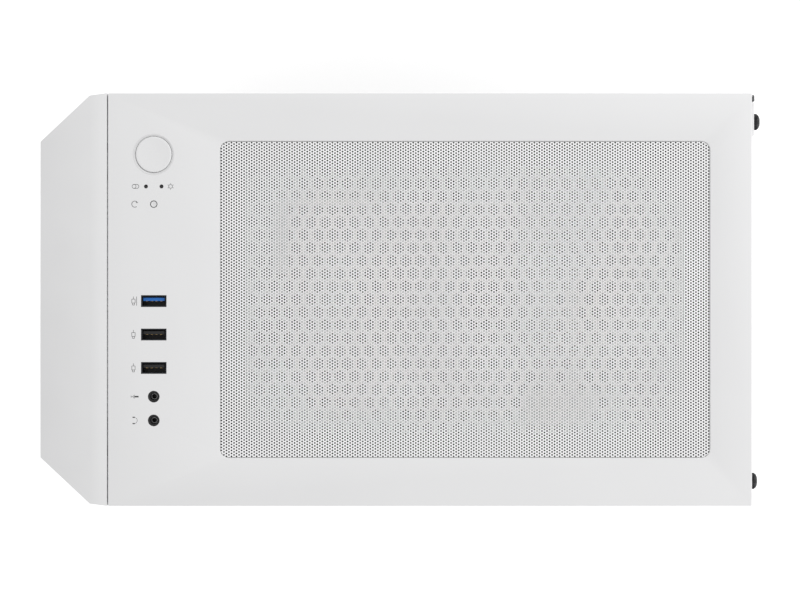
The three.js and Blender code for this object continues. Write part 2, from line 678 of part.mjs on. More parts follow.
function lightPipe() {
  const bar = block(around(LEDS.x, 1.4), around(IO_LINE, LEDS.spread + 1.4), [465.5, 468]);
  const prongs = [-1, 1].map((side) => {
    const centre = [LEDS.x, IO_LINE + side * LEDS.spread];
    return rod("z", centre, LEDS.radius, [467.8, SOCKET_TOP], 10);
  });
  return join(bar, ...prongs);
}

piece("io_board", ioBoard(), CIRCUIT_BOARD);
piece("io_bracket", ioBracket(), BLACK_PLASTIC);
piece("fast_port", dataSocket(PORT.xs[0]), BLUE_PLASTIC);
piece("data_port_a", dataSocket(PORT.xs[1]), BLACK_PLASTIC);
piece("data_port_b", dataSocket(PORT.xs[2]), BLACK_PLASTIC);
piece("microphone_jack", jackSocket(JACK.xs[0]), BLACK_PLASTIC);
piece("headphone_jack", jackSocket(JACK.xs[1]), BLACK_PLASTIC);
piece("light_pipe", lightPipe(), BLACK_PLASTIC);
piece("power_button", powerButton(), WHITE_PLASTIC);
piece("reset_button", resetButton(), WHITE_PLASTIC);

// Magnetic dust filter in the recess: a mesh sheet on a frame of magnet strip
const filterOutline = (inset) => {
  const radius = Math.max(1, RECESS.radius - inset);
  return roundedOutline(around(0, RECESS.x - inset), grown(RECESS.y, -inset), radius);
};
const stripLow = TOP - RECESS.depth + 0.1;
const meshHigh = TOP - 0.5;
const strip = cut(
  extruded("z", filterOutline(0.5), [stripLow, meshHigh - MESH_SHEET - 0.1], 3),
  extruded("z", filterOutline(0.5 + STRIP_WIDTH), [stripLow - 1, TOP], 3),
);
piece("top_filter_magnet", strip, MAGNET);
const sheet = extruded("z", filterOutline(0.4), [meshHigh - MESH_SHEET, meshHigh], 3);
piece("top_filter_mesh", sheet, WHITE_MESH);

// Front panel: a hollow shell with chamfered sides, a mesh window and four push-in studs

const SHOULDER = { x: 103.8, y: FRONT + 25.4 }; // where the side turns into the chamfer
const NOSE = 80.5; // half width of the flat front
const BROW = 3.4; // how far the top and bottom fall away towards the front
const PANEL_LOW = 9;
const SHELL = 2.5;
const WINDOW = { x: 72, z: [42, 448] };

function panelSolid(inset, back) {
  const plan = polygon([
    [-HALF_WIDTH + inset, back],
    [-SHOULDER.x + inset, SHOULDER.y + inset * 0.4],
    [-NOSE + inset * 0.4, FRONT + inset],
    [NOSE - inset * 0.4, FRONT + inset],
    [SHOULDER.x - inset, SHOULDER.y + inset * 0.4],
    [HALF_WIDTH - inset, back],
  ]);
  const side = polygon([
    [back, PANEL_LOW + inset],
    [SHOULDER.y, PANEL_LOW + inset],
    [FRONT + inset, PANEL_LOW + BROW + inset],
    [FRONT + inset, TOP - BROW - inset],
    [SHOULDER.y, TOP - inset],
    [back, TOP - inset],
  ]);
  const wide = grown([-HALF_WIDTH, HALF_WIDTH], 1);
  return extruded("z", plan, [0, TOP + 1]).intersect(extruded("x", side, wide));
}

function frontPanel() {
  const back = SEAM - SEAM_HALF;
  const shell = cut(panelSolid(0, back), panelSolid(SHELL, back + 5));
  const window = block(around(0, WINDOW.x), [FRONT - 1, FRONT + SHELL + 1], WINDOW.z);
  const grip = block(around(0, 45), [-174, -152], [PANEL_LOW - 1, PANEL_LOW + SHELL + BROW + 1]);
  // Each stud grows out of the back of the front face, and stays behind the chamfer beside it.
  const length = [FRONT + SHELL - 0.5, FRONT_PLATE[1] + 5];
  const studs = [-STUD.x, STUD.x].flatMap((x) => {
    return STUD.zs.map((z) => rod("y", [z, x], STUD.radius, length, 12));
  });
  return join(cut(shell, window, grip), ...studs);
}

const meshY = [FRONT + SHELL + GAP, FRONT + SHELL + GAP + 0.8];
piece("front_panel", frontPanel(), WHITE_PLASTIC);
piece("front_mesh", block(around(0, WINDOW.x + 4), meshY, grown(WINDOW.z, 4)), WHITE_MESH);

// Side panels and their thumbscrews

function glassFrame() {
  const { flange } = SIDES.left;
  const face = [-HALF_WIDTH + GLASS.thick + GAP, -HALF_WIDTH + GLASS.thick + GAP + SHEET];
  const long = [SEAM + SEAM_HALF, flange[1]];
  const ring = cut(
    block(face, long, SIDE_RANGE),
    block(grown(face, 1), grown(long, -22), grown(SIDE_RANGE, -22)),
  );
  const tab = block([face[0], -FLANGE_IN], flange, SIDE_RANGE);
  return cut(join(ring, tab), ...screwHoles(grown(flange, 1), "left"));
}

function rightPanel() {
  const { flange } = SIDES.right;
  const long = [SEAM + SEAM_HALF, flange[1]];
  const face = block([HALF_WIDTH - SHEET, HALF_WIDTH], long, SIDE_RANGE);
  const turnIn = [98, HALF_WIDTH - SHEET / 2];
  const returns = [
    block(turnIn, long, [SIDE_RANGE[0], SIDE_RANGE[0] + SHEET]),
    block(turnIn, long, [SIDE_RANGE[1] - SHEET, SIDE_RANGE[1]]),
    block(turnIn, [long[0], long[0] + SHEET], SIDE_RANGE),
    block([FLANGE_IN, turnIn[1]], flange, SIDE_RANGE),
  ];
  return cut(join(face, ...returns), ...screwHoles(grown(flange, 1), "right"));
}

// A thumbscrew with a domed head and a plain shank.
function thumbscrew(side, level) {
  const { flange, screw } = SIDES[side];
  const seat = flange[1] + GAP;
  const end = seat + THUMBSCREW.length;
  const profile = [
    [0, SHANK_END],
    [THUMBSCREW.shank, SHANK_END],
    [THUMBSCREW.shank, seat],
    [THUMBSCREW.head - 0.5, seat],
    [THUMBSCREW.head, seat + 0.6],
    [THUMBSCREW.head, end - 1],
    [THUMBSCREW.head - 1, end],
    [0, end],
  ];
  return turned("y", [THUMBSCREW.heights[level], screw], profile, 20);
}

const glassX = [-HALF_WIDTH, -HALF_WIDTH + GLASS.thick];
piece("glass_sheet", block(glassX, GLASS.y, SIDE_RANGE), TINTED_GLASS);
piece("glass_frame", glassFrame(), WHITE_STEEL);
piece("right_side_panel", rightPanel(), WHITE_STEEL);
for (const side of Object.keys(SIDES)) {
  for (const level of Object.keys(THUMBSCREW.heights)) {
    piece(`thumbscrew_${side}_${level}`, thumbscrew(side, level), BLACK_METAL);
  }
}

// Feet and the sliding filter under the supply

function foot(x, y) {
  const [sizeX, sizeY] = FEET.size;
  const body = roundedOutline(around(x, sizeX / 2), around(y, sizeY / 2), 8);
  const pad = roundedOutline(around(x, sizeX / 2 - 2), around(y, sizeY / 2 - 2), 6);
  return join(
    extruded("z", body, [FEET.pad, FLOOR - GAP], 3),
    extruded("z", pad, [0, FEET.pad + 0.5], 3),
  );
}

[
  ["front_left", -1, 0],
  ["front_right", 1, 0],
  ["rear_left", -1, 1],
  ["rear_right", 1, 1],
].forEach(([corner, side, end]) => {
  piece(`foot_${corner}`, foot(side * FEET.x, FEET.ys[end]), RUBBER);
});

function slidingFilter() {
  const sheet = block(around(0, SLIDE_FILTER.x), SLIDE_FILTER.y, SLIDE_FILTER.z);
  const pull = block(around(0, 22), [SLIDE_FILTER.y[1] - 1, 176.5], [11, SLIDE_FILTER.z[1]]);
  return join(sheet, pull);
}

piece("bottom_filter", slidingFilter(), BLACK_PLASTIC);

tower.position.y = -(FRONT + SCREW_END) / 2;

export default tower;
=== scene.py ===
"""A white desktop computer tower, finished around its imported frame."""

import math

import bmesh
import bpy
from mathutils import Matrix, Vector


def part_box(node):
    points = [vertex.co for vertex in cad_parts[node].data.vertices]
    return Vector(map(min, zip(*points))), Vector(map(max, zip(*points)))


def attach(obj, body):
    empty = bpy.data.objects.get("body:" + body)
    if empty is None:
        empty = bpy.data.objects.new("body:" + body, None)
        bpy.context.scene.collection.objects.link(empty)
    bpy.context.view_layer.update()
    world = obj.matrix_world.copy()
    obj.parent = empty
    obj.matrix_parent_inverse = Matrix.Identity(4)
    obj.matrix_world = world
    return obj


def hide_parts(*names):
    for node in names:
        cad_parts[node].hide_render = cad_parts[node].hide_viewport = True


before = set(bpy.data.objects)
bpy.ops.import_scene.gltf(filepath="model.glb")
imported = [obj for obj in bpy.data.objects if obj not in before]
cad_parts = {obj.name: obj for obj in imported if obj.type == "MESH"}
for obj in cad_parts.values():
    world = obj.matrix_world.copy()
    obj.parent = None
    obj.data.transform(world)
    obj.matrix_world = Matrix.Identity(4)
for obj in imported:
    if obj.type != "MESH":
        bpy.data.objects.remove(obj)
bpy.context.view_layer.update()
MM = 0.001


# ---- Studio ----
# A pale floor, a white surround and large soft lamps on every side, the strongest at the glass side
# and the rear. The camera looks straight down with the front of the tower to the left.

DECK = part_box("power_button")[1].z - 0.5 * MM  # height of the top panel's outer face
VIEW_WIDTH = 406.8 * MM  # what the camera takes in at that height
LENS, SENSOR = 135, 36

camera = bpy.data.objects.new("camera", bpy.data.cameras.new("camera"))
camera.data.lens = LENS
camera.data.sensor_width = SENSOR
camera.location = (0.25 * MM, -1.11 * MM, DECK + VIEW_WIDTH * LENS / SENSOR)
camera.rotation_euler = (0, 0, math.pi / 2)
bpy.context.scene.collection.objects.link(camera)
bpy.context.scene.camera = camera
bpy.context.scene.view_settings.view_transform = "Standard"


def lamp(name, place, aim, size, watts):
    """A soft square lamp that points at a place and stays out of the picture."""
    made = bpy.data.objects.new(name, bpy.data.lights.new(name, "AREA"))
    made.data.size = size
    made.data.energy = watts
    made.location = place
    made.rotation_euler = (Vector(aim) - Vector(place)).to_track_quat("-Z", "Y").to_euler()
    made.visible_camera = False
    bpy.context.scene.collection.objects.link(made)


lamp("key_lamp", (-1.3, 1.1, 1.9), (0, 0.05, 0.4), 1.0, 14)
lamp("rear_lamp", (0.3, 2.2, 1.3), (0, 0, 0.4), 1.2, 14)
lamp("front_lamp", (0.5, -2.4, 1.2), (0, 0, 0.3), 1.6, 6)
lamp("side_lamp", (2.3, 0.2, 1.1), (0, 0, 0.3), 1.6, 8)
lamp("glass_lamp", (-2.3, -0.4, 0.9), (0, 0, 0.25), 1.4, 9)

surround = bpy.data.worlds.new("surround")
surround.use_nodes = True
surround.node_tree.nodes["Background"].inputs["Color"].default_value = (1, 1, 1, 1)
surround.node_tree.nodes["Background"].inputs["Strength"].default_value = 0.66
bpy.context.scene.world = surround

floor_shape = bmesh.new()
bmesh.ops.create_circle(floor_shape, cap_ends=True, segments=96, radius=6)
floor_mesh = bpy.data.meshes.new("floor")
floor_shape.to_mesh(floor_mesh)
floor_shape.free()
floor = bpy.data.objects.new("floor", floor_mesh)
bpy.context.scene.collection.objects.link(floor)
floor_paint = bpy.data.materials.new("floor_paint")
floor_paint.use_nodes = True
floor_shader = floor_paint.node_tree.nodes["Principled BSDF"]
floor_shader.inputs["Base Color"].default_value = (0.9, 0.9, 0.9, 1)
floor_shader.inputs["Roughness"].default_value = 0.9
floor_shader.inputs["Emission Color"].default_value = (1, 1, 1, 1)
floor_shader.inputs["Emission Strength"].default_value = 0.32
floor_mesh.materials.append(floor_paint)


# ---- Top panel ----
# One pressed sheet of 1 mm steel with folded skirts, powder coated white. Its sunk recess has a
# honeycomb vent, and its front strip is punched for the buttons, lamps and sockets.


class Finish:
    """A node material whose shader sockets take numbers, colours or Values."""

    def __init__(self, name, colour, roughness, **constants):
        self.material = bpy.data.materials.new(name)
        self.material.use_nodes = True
        self.tree = self.material.node_tree
        self.shader = self.tree.nodes["Principled BSDF"]
        self.fill(self.shader, {"Base Color": colour, "Roughness": roughness})
        self.fill(self.shader, {key.replace("_", " "): value for key, value in constants.items()})
        self.place = self.node("ShaderNodeTexCoord", output="Object")

    def fill(self, node, inputs):
        for key, value in inputs.items():
            socket = node.inputs[key]
            if isinstance(value, Value):
                self.tree.links.new(value.socket, socket)
            elif isinstance(value, tuple) and socket.type == "RGBA":
                socket.default_value = (*value, 1)
            else:
                socket.default_value = value

    def node(self, kind, settings=None, inputs=None, output=0):
        """Adds any node: its settings first, then the values or links of its sockets."""
        node = self.tree.nodes.new(kind)
        for key, value in (settings or {}).items():
            setattr(node, key, value)
        self.fill(node, inputs or {})
        return Value(self, node.outputs[output])

    def noise(self, size, detail=2):
        """A cloud pattern from 0 to 1 whose lumps are about size across."""
        inputs = {"Vector": self.place, "Scale": 1 / size, "Detail": detail}
        return self.node("ShaderNodeTexNoise", inputs=inputs)

    def mixed(self, share, first, second):
        """The first colour where share is 0 and the second where it is 1."""
        inputs = {0: share, 6: first, 7: second}
        return self.node("ShaderNodeMix", {"data_type": "RGBA"}, inputs, output=2)

    def bumped(self, height, depth):
        """Raises the surface by height, from 0 to 1, times depth."""
        inputs = {"Strength": 1, "Distance": depth, "Height": height}
        self.fill(self.shader, {"Normal": self.node("ShaderNodeBump", inputs=inputs)})


class Value:
    """A shader socket. Arithmetic on it adds Math nodes."""

    def __init__(self, finish, socket):
        self.finish, self.socket = finish, socket

    def maths(self, operation, first, second=0.0):
        return self.finish.node("ShaderNodeMath", {"operation": operation}, {0: first, 1: second})

    def __add__(self, other):
        return self.maths("ADD", self, other)

    def __mul__(self, other):
        return self.maths("MULTIPLY", self, other)

    def __pow__(self, other):
        return self.maths("POWER", self, other)

    __radd__ = __add__
    __rmul__ = __mul__


def powder_coat(name, colour):
    """Baked powder on steel: a fine orange peel, and a little cloudiness in colour and gloss."""
    finish = Finish(name, colour, 0.5, Specular_IOR_Level=0.4)
    cloud = finish.noise(60 * MM)
    darker = tuple(0.965 * part for part in colour)
    finish.fill(finish.shader, {"Base Color": finish.mixed(cloud, darker, colour)})
    finish.fill(finish.shader, {"Roughness": 0.42 + 0.16 * finish.noise(9 * MM)})
    finish.bumped(finish.noise(0.7 * MM, 3), 0.03 * MM)
    return finish.material


def moulded(name, colour, roughness, texture=0.35 * MM, depth=0.02 * MM):
    """Moulded plastic with the fine etched grain of its tool."""
    finish = Finish(name, colour, roughness)
    finish.fill(finish.shader, {"Roughness": roughness - 0.05 + 0.1 * finish.noise(7 * MM)})
    darker = tuple(0.94 * part for part in colour)
    finish.fill(finish.shader, {"Base Color": finish.mixed(finish.noise(30 * MM), darker, colour)})
    finish.bumped(finish.noise(texture, 2), depth)
    return finish.material


def piece(name, shape, material, body="chassis", stands_for=()):
    """Makes a bmesh into a piece that rides on a body, and hides the nodes that it stands for."""
    if not shape.faces:
        raise ValueError(f"{name} has no faces")
    mesh = bpy.data.meshes.new(name)
    shape.to_mesh(mesh)
    shape.free()
    made = bpy.data.objects.new(name, mesh)
    bpy.context.scene.collection.objects.link(made)
    mesh.materials.append(material)
    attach(made, body)
    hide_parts(*stands_for)


def copied(node):
    """A CAD node's solid with its flat faces whole again."""
    shape = bmesh.new()
    shape.from_mesh(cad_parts[node].data)
    bmesh.ops.remove_doubles(shape, verts=shape.verts, dist=0.003 * MM)
    flat = math.radians(0.4)
    bmesh.ops.dissolve_limit(shape, angle_limit=flat, verts=shape.verts, edges=shape.edges)
    return shape


def softened(shape, width, segments, chosen=lambda edge: True, sharper_than=20):
    """Rounds the chosen sharp edges of a shape."""
    limit = math.radians(sharper_than)
    edges = [e for e in shape.edges if e.calc_face_angle(0) > limit and chosen(e)]
    bmesh.ops.bevel(
        shape,
        geom=edges,
        offset=width,
        segments=segments,
        profile=0.5,
        affect="EDGES",
        material=-1,
        clamp_overlap=True,
    )
    return shape


def shaded(shape, flatter_than=33):
    """Shades gentle bends smoothly and keeps sharp edges sharp."""
    for face in shape.faces:
        face.smooth = True
    for edge in shape.edges:
        edge.smooth = edge.calc_face_angle(math.pi) < math.radians(flatter_than)
    return shape


def moved(shape, shift=(0, 0, 0), turn=None, verts=None):
    """Turns some vertices of a shape, or all of them, about the origin and then shifts them."""
    verts = verts or shape.verts
    if turn:
        bmesh.ops.transform(shape, matrix=turn, verts=verts)
    bmesh.ops.translate(shape, vec=Vector(shift), verts=verts)
    return shape


def added(shape, other):
    """Puts a second shape into the first."""
    carrier = bpy.data.meshes.new("carrier")
    other.to_mesh(carrier)
    other.free()
    shape.from_mesh(carrier)
    bpy.data.meshes.remove(carrier)
    return shape


def without(shape, tool):
    """Cuts a tool's volume out of a shape."""
    solids = []
    for part in (shape, tool):
        mesh = bpy.data.meshes.new("solid")
        part.to_mesh(mesh)
        part.free()
        solids.append(bpy.data.objects.new("solid", mesh))
        bpy.context.scene.collection.objects.link(solids[-1])
    cutter = solids[0].modifiers.new("cut", "BOOLEAN")
    cutter.object = solids[1]
    cutter.solver = "EXACT"
    graph = bpy.context.evaluated_depsgraph_get()
    result = bmesh.new()
    result.from_mesh(solids[0].evaluated_get(graph).to_mesh())
    for solid in solids:
        bpy.data.meshes.remove(solid.data)
    return result


def prism(radius, sides, low, high, centre=(0, 0), turn=0.0):
    """An upright prism, or a round bar if it has many sides."""
    shape = bmesh.new()
    bmesh.ops.create_cone(
        shape, cap_ends=True, segments=sides, radius1=radius, radius2=radius, depth=high - low
    )
    place = (centre[0], centre[1], (low + high) / 2)
    return moved(shape, place, Matrix.Rotation(turn, 4, "Z"))


WHITE = (0.79, 0.79, 0.795)
WHITE_COAT = powder_coat("white_coat", WHITE)
VENT_ROWS, VENT_COLUMNS = 21, 30
VENT_PITCH = 7.45 * MM  # along the depth of the tower
VENT_ROW = 6.557 * MM  # from row to row
VENT_HOLE = 5.6 * MM  # across the flats
RECESS_DEPTH = 1.8 * MM

recess = (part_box("top_filter_mesh")[0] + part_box("top_filter_mesh")[1]) / 2
panel_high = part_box("top_panel")[1]
recess_floor = DECK - RECESS_DEPTH
FACE_DEPTH = 0.01 * MM  # a point less than this below the deck's face lies on it
SIDE = 104.9 * MM  # a point further out than this lies on the outer face of a side
hexagon = VENT_HOLE / 2 / math.cos(math.pi / 6)
vent_holes = bmesh.new()
for row in range(VENT_ROWS):
    count = VENT_COLUMNS - row % 2
    x = (row - (VENT_ROWS - 1) / 2) * VENT_ROW
    for i in range(count):
        y = recess.y - 0.3 * MM + (i - (count - 1) / 2) * VENT_PITCH
        low, high = recess_floor - 2 * MM, recess_floor + 0.5 * MM
        added(vent_holes, prism(hexagon, 6, low, high, (x, y), math.pi / 6))

top_shape = softened(
    copied("top_panel"),
    0.6 * MM,
    4,
    lambda e: e.calc_length() > 9 * MM
    and all(v.co.z > DECK - FACE_DEPTH or abs(v.co.x) > SIDE for v in e.verts)
    and all(abs(v.co.x) > SIDE or v.co.y > panel_high.y - 0.1 * MM for v in e.verts)
    and any(v.co.z > DECK - FACE_DEPTH for v in e.verts),
)
softened(
    top_shape,
    0.45 * MM,
    3,
    lambda e: all(
        v.co.z > DECK - FACE_DEPTH and abs(v.co.x) < 81 * MM and v.co.y > -93 * MM for v in e.verts
    ),
)
top_shape = shaded(without(top_shape, vent_holes))
piece("top_deck", top_shape, WHITE_COAT, "chassis", ["top_panel"])


# ---- Top dust filter ----
# A punched sheet of thin white plastic on a frame of flat magnet strip. It drops into the recess
# and holds on to the steel below it.


def perforated(size, pitch, row, hole):
    """A flat punched sheet about the origin: rows of six-sided holes along Y, each row half a
    pitch on from the last. The sheet's edges cut through the holes, as shears do."""
    radius = hole / 2 / math.cos(math.pi / 6)
    corners = [Vector((radius * math.cos(a), radius * math.sin(a), 0)) for a in SIXTHS]
    unit = bmesh.new()
    for base in (Vector((0, 0, 0)), Vector((row, pitch / 2, 0))):
        near = [base, base + Vector((row, pitch / 2, 0)), base + Vector((0, pitch, 0))]
        near.append(base + Vector((-row, pitch / 2, 0)))
        rings = [[centre + corner for corner in corners] for centre in near]
        home, right, up, left = rings
        webs = [
            (home[0], right[4], right[3], home[1]),
            (home[1], up[5], up[4], home[2]),
            (home[2], left[0], left[5], home[3]),
            (home[1], right[3], up[5]),
            (home[2], up[4], left[0]),
        ]
        for web in webs:
            unit.faces.new([unit.verts.new(corner) for corner in web])
    bmesh.ops.remove_doubles(unit, verts=unit.verts, dist=pitch / 100)
    mesh = bpy.data.meshes.new("unit")
    unit.to_mesh(mesh)
    unit.free()
    carrier = bpy.data.objects.new("unit", mesh)
    bpy.context.scene.collection.objects.link(carrier)
    counts = (math.ceil(size[0] / row / 2) + 2, math.ceil(size[1] / pitch) + 3)
    for step, count in (((2 * row, 0, 0), counts[0]), ((0, pitch, 0), counts[1])):
        array = carrier.modifiers.new("rows", "ARRAY")
        array.use_relative_offset = False
        array.use_constant_offset = True
        array.constant_offset_displace = step
        array.count = count
    sheet = bmesh.new()
    graph = bpy.context.evaluated_depsgraph_get()
    sheet.from_mesh(carrier.evaluated_get(graph).to_mesh())
    bpy.data.meshes.remove(mesh)
    bmesh.ops.remove_doubles(sheet, verts=sheet.verts, dist=pitch / 100)
    middle = (-(counts[0] - 1) * row - row / 2, -(counts[1] - 1) * pitch / 2 - pitch / 2, 0)
    return moved(sheet, middle)


SIXTHS = [math.radians(60 * i) for i in range(6)]


def trimmed(sheet, point, normal):
    """Shears off what lies beyond a plane."""
    everything = sheet.verts[:] + sheet.edges[:] + sheet.faces[:]
    bmesh.ops.bisect_plane(
        sheet, geom=everything, plane_co=point, plane_no=normal, clear_outer=True
    )


def trimmed_box(sheet, half_x, half_y, corner=0.0, steps=3):
    """Shears a sheet to a rectangle with rounded corners."""
    for side in (-1, 1):
        trimmed(sheet, (side * half_x, 0, 0), (side, 0, 0))
        trimmed(sheet, (0, side * half_y, 0), (0, side, 0))
    if corner:
        for quarter in range(4):
            across, along = [(1, 1), (-1, 1), (-1, -1), (1, -1)][quarter]
            for i in range(steps):
                angle = math.radians(90 * (i + 0.5) / steps)
                normal = Vector((across * math.cos(angle), along * math.sin(angle), 0))
                centre = Vector((across * (half_x - corner), along * (half_y - corner), 0))
                trimmed(sheet, centre + corner * normal, normal)
    return sheet


FILTER_WHITE = moulded("filter_white", (0.93, 0.93, 0.935), 0.55, 0.2 * MM, 0.01 * MM)
filter_low, filter_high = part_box("top_filter_mesh")
filter_half = (filter_high - filter_low) / 2
# The holes narrow through the sheet's thickness. Their walls lie in shadow, and that shadow is drawn as
# painted shade: a second, near-black layer with narrower holes under the white sheet.
FILTER_SHADE_PAINT = moulded("filter_painted_shade", (0.07, 0.07, 0.072), 0.6, 0.2 * MM, 0.01 * MM)
SNUG = 0.2 * MM  # how much nearer to the recess's wall the fine sheet reaches
FILTER_PITCH, FILTER_ROW, FILTER_CORNER = 1.52 * MM, 1.284 * MM, 4.3 * MM
# The second layer is painted shade for the shadowed walls of the holes, not a part of its own.
for name, depth, hole, paint, stands_for in (
    ("filter_sheet", 0.05 * MM, 0.86 * MM, FILTER_WHITE, ["top_filter_mesh"]),
    ("filter_shade_layer", 0.45 * MM, 0.64 * MM, FILTER_SHADE_PAINT, []),
):
    extent = (2 * (filter_half.y + SNUG), 2 * (filter_half.x + SNUG))
    layer = perforated(extent, FILTER_PITCH, FILTER_ROW, hole)
    moved(layer, turn=Matrix.Rotation(math.pi / 2, 4, "Z"))
    trimmed_box(layer, filter_half.x + SNUG, filter_half.y + SNUG, FILTER_CORNER)
    moved(layer, (recess.x, recess.y, filter_high.z - depth))
    piece(name, layer, paint, "top_filter", stands_for)


def rubbery(name, colour, roughness=0.8):
    """Rubber or magnet strip: matt, faintly mottled, with a pebbled skin."""
    finish = Finish(name, colour, roughness, Specular_IOR_Level=0.3)
    lighter = tuple(1.5 * part for part in colour)
    finish.fill(finish.shader, {"Base Color": finish.mixed(finish.noise(5 * MM), colour, lighter)})
    finish.fill(finish.shader, {"Roughness": roughness - 0.1 + 0.2 * finish.noise(2 * MM)})
    finish.bumped(finish.noise(0.5 * MM, 3), 0.05 * MM)
    return finish.material


MAGNET = rubbery("magnet_strip", (0.045, 0.038, 0.035))


def dressed(node, material):
    """Gives a CAD node that keeps its shape its finish."""
    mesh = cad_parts[node].data
    mesh.materials.clear()
    mesh.materials.append(material)


dressed("top_filter_magnet", MAGNET)


# ---- Power and reset buttons ----
# Two white plastic caps. The power button is dished and turned, which leaves fine rings in its
# face, and it sits in a bevelled collar. The reset button is a small dished pin.


def turned(profile, centre, sides=64):
    """A solid of revolution about an upright axis, from radius and height pairs."""
    shape = bmesh.new()
    line = [shape.verts.new((radius, 0, height)) for radius, height in profile]
    for first, second in zip(line, line[1:]):
        shape.edges.new((first, second))
    geometry = shape.verts[:] + shape.edges[:]
    bmesh.ops.spin(
        shape,
        geom=geometry,
        cent=(0, 0, 0),
        axis=(0, 0, 1),
        angle=math.tau,
        steps=sides,
        use_merge=True,
    )
    bmesh.ops.remove_doubles(shape, verts=shape.verts, dist=0.001 * MM)
    bmesh.ops.recalc_face_normals(shape, faces=shape.faces)
    return moved(shape, (centre[0], centre[1], 0))


def spun(name, colour, roughness, centre, rings):
    """A turned face: concentric cutter rings and a gloss that follows them."""
    finish = Finish(name, colour, roughness, Anisotropic=0.75)
    shift = {"Location": (-centre[0], -centre[1], 0)}
    about = finish.node("ShaderNodeMapping", inputs={"Vector": finish.place, **shift})
    settings = {"wave_type": "RINGS", "rings_direction": "Z"}
    inputs = {"Vector": about, "Scale": rings, "Distortion": 0.4, "Detail": 2}
    wave = finish.node("ShaderNodeTexWave", settings, inputs, output=1)
    finish.bumped(wave, 0.012 * MM)
    finish.fill(finish.shader, {"Roughness": roughness - 0.06 + 0.12 * wave})
    return finish.material


power_low, power_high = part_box("power_button")
power_at = ((power_low.x + power_high.x) / 2, (power_low.y + power_high.y) / 2)
cap_top = power_high.z
CAP = 9.1 * MM
DISH = 0.35 * MM
cap_profile = [(0, power_low.z), (2.5 * MM, power_low.z), (2.5 * MM, cap_top - 5 * MM)]
cap_profile += [(10.1 * MM, cap_top - 5 * MM), (10.1 * MM, cap_top - 3.4 * MM)]
cap_profile += [(CAP, cap_top - 3.4 * MM), (CAP, cap_top - 0.55 * MM)]
for i in range(5):
    angle = math.radians(22.5 * i)
    radius = CAP - 0.45 * MM * (1 - math.cos(angle))
    cap_profile.append((radius, cap_top - 0.45 * MM * (1 - math.sin(angle))))
for i in range(1, 9):
    share = 1 - i / 8
    cap_profile.append(((CAP - 0.5 * MM) * share, cap_top - DISH * (1 - share**2)))
SPUN_WHITE = spun("spun_white", (0.77, 0.77, 0.775), 0.36, power_at, 900)
cap = shaded(turned(cap_profile, power_at, 96), 40)
piece("power_cap", cap, SPUN_WHITE, "power_key", ["power_button"])

# The collar lines the countersink around the button.
collar_profile = [(9.24 * MM, DECK - 2.4 * MM), (9.24 * MM, DECK - 0.45 * MM)]
collar_profile += [(9.45 * MM, DECK - 0.25 * MM), (9.9 * MM, DECK - 0.05 * MM)]
collar_profile += [(10.3 * MM, DECK + 0.08 * MM), (10.5 * MM, DECK + 0.06 * MM)]
collar_profile += [(10.6 * MM, DECK), (10.5 * MM, DECK - 0.4 * MM), (10.2 * MM, DECK - 2.4 * MM)]
collar_profile.append(collar_profile[0])
COLLAR_WHITE = moulded("collar_white", (0.74, 0.74, 0.745), 0.4)
collar = shaded(turned(collar_profile, power_at, 96), 40)
piece("power_collar", collar, COLLAR_WHITE)

reset_low, reset_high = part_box("reset_button")
reset_at = ((reset_low.x + reset_high.x) / 2, (reset_low.y + reset_high.y) / 2)
PIN = 1.6 * MM
pin_profile = [(0, reset_low.z), (1.2 * MM, reset_low.z), (1.2 * MM, reset_low.z + 4 * MM)]
pin_profile += [(2.6 * MM, reset_low.z + 4 * MM), (2.6 * MM, reset_low.z + 5.5 * MM)]
pin_profile += [(PIN, reset_low.z + 5.5 * MM), (PIN, reset_high.z - 0.3 * MM)]
pin_profile += [(PIN - 0.25 * MM, reset_high.z), (0, reset_high.z - 0.25 * MM)]
BUTTON_WHITE = moulded("button_white", (0.78, 0.78, 0.785), 0.38)
pin = shaded(turned(pin_profile, reset_at, 40), 40)
piece("reset_pin", pin, BUTTON_WHITE, "reset_key", ["reset_button"])


# ---- Indicator lamps ----
# One light pipe of smoked plastic with two prongs, moulded in one piece. The prongs end just below
# the holes in the deck.


def glossy(name, colour, roughness=0.22):
    """Polished plastic with faint handling marks."""
    finish = Finish(name, colour, roughness, Coat_Weight=0.3, Coat_Roughness=0.1)
    finish.fill(finish.shader, {"Roughness": roughness - 0.05 + 0.12 * finish.noise(3 * MM, 4)})
    finish.bumped(finish.noise(12 * MM), 0.02 * MM)
    return finish.material


PIPE = glossy("smoked_pipe", (0.012, 0.012, 0.013))
dressed("light_pipe", PIPE)


# ---- Sockets on the deck ----
# Three data sockets, each a black shell around a contact tongue, which is blue in the fast one, and
# two round sockets for a microphone and headphones.


def block(low, high):
    """A box between two corners."""
    shape = bmesh.new()
    bmesh.ops.create_cube(shape, size=1)
    size = [b - a for a, b in zip(low, high)]
    bmesh.ops.scale(shape, vec=size, verts=shape.verts)
    return moved(shape, [(a + b) / 2 for a, b in zip(low, high)])


def around(middle, half):
    return (middle - half, middle + half)


def boxed(x, y, z):
    """A box from its limits on each axis."""
    return block(*zip(x, y, z))


def metal(name, colour, roughness, scratch=0.4 * MM):
    """Bare metal with fine rolling marks."""
    finish = Finish(name, colour, roughness, Metallic=1.0)
    stretched = finish.node(
        "ShaderNodeMapping", inputs={"Vector": finish.place, "Scale": (1, 1, 14)}
    )
    inputs = {"Vector": stretched, "Scale": 1 / scratch / 8, "Detail": 3}
    marks = finish.node("ShaderNodeTexNoise", inputs=inputs)
    finish.fill(finish.shader, {"Roughness": roughness - 0.08 + 0.2 * marks})
    finish.bumped(marks, 0.008 * MM)
    return finish.material


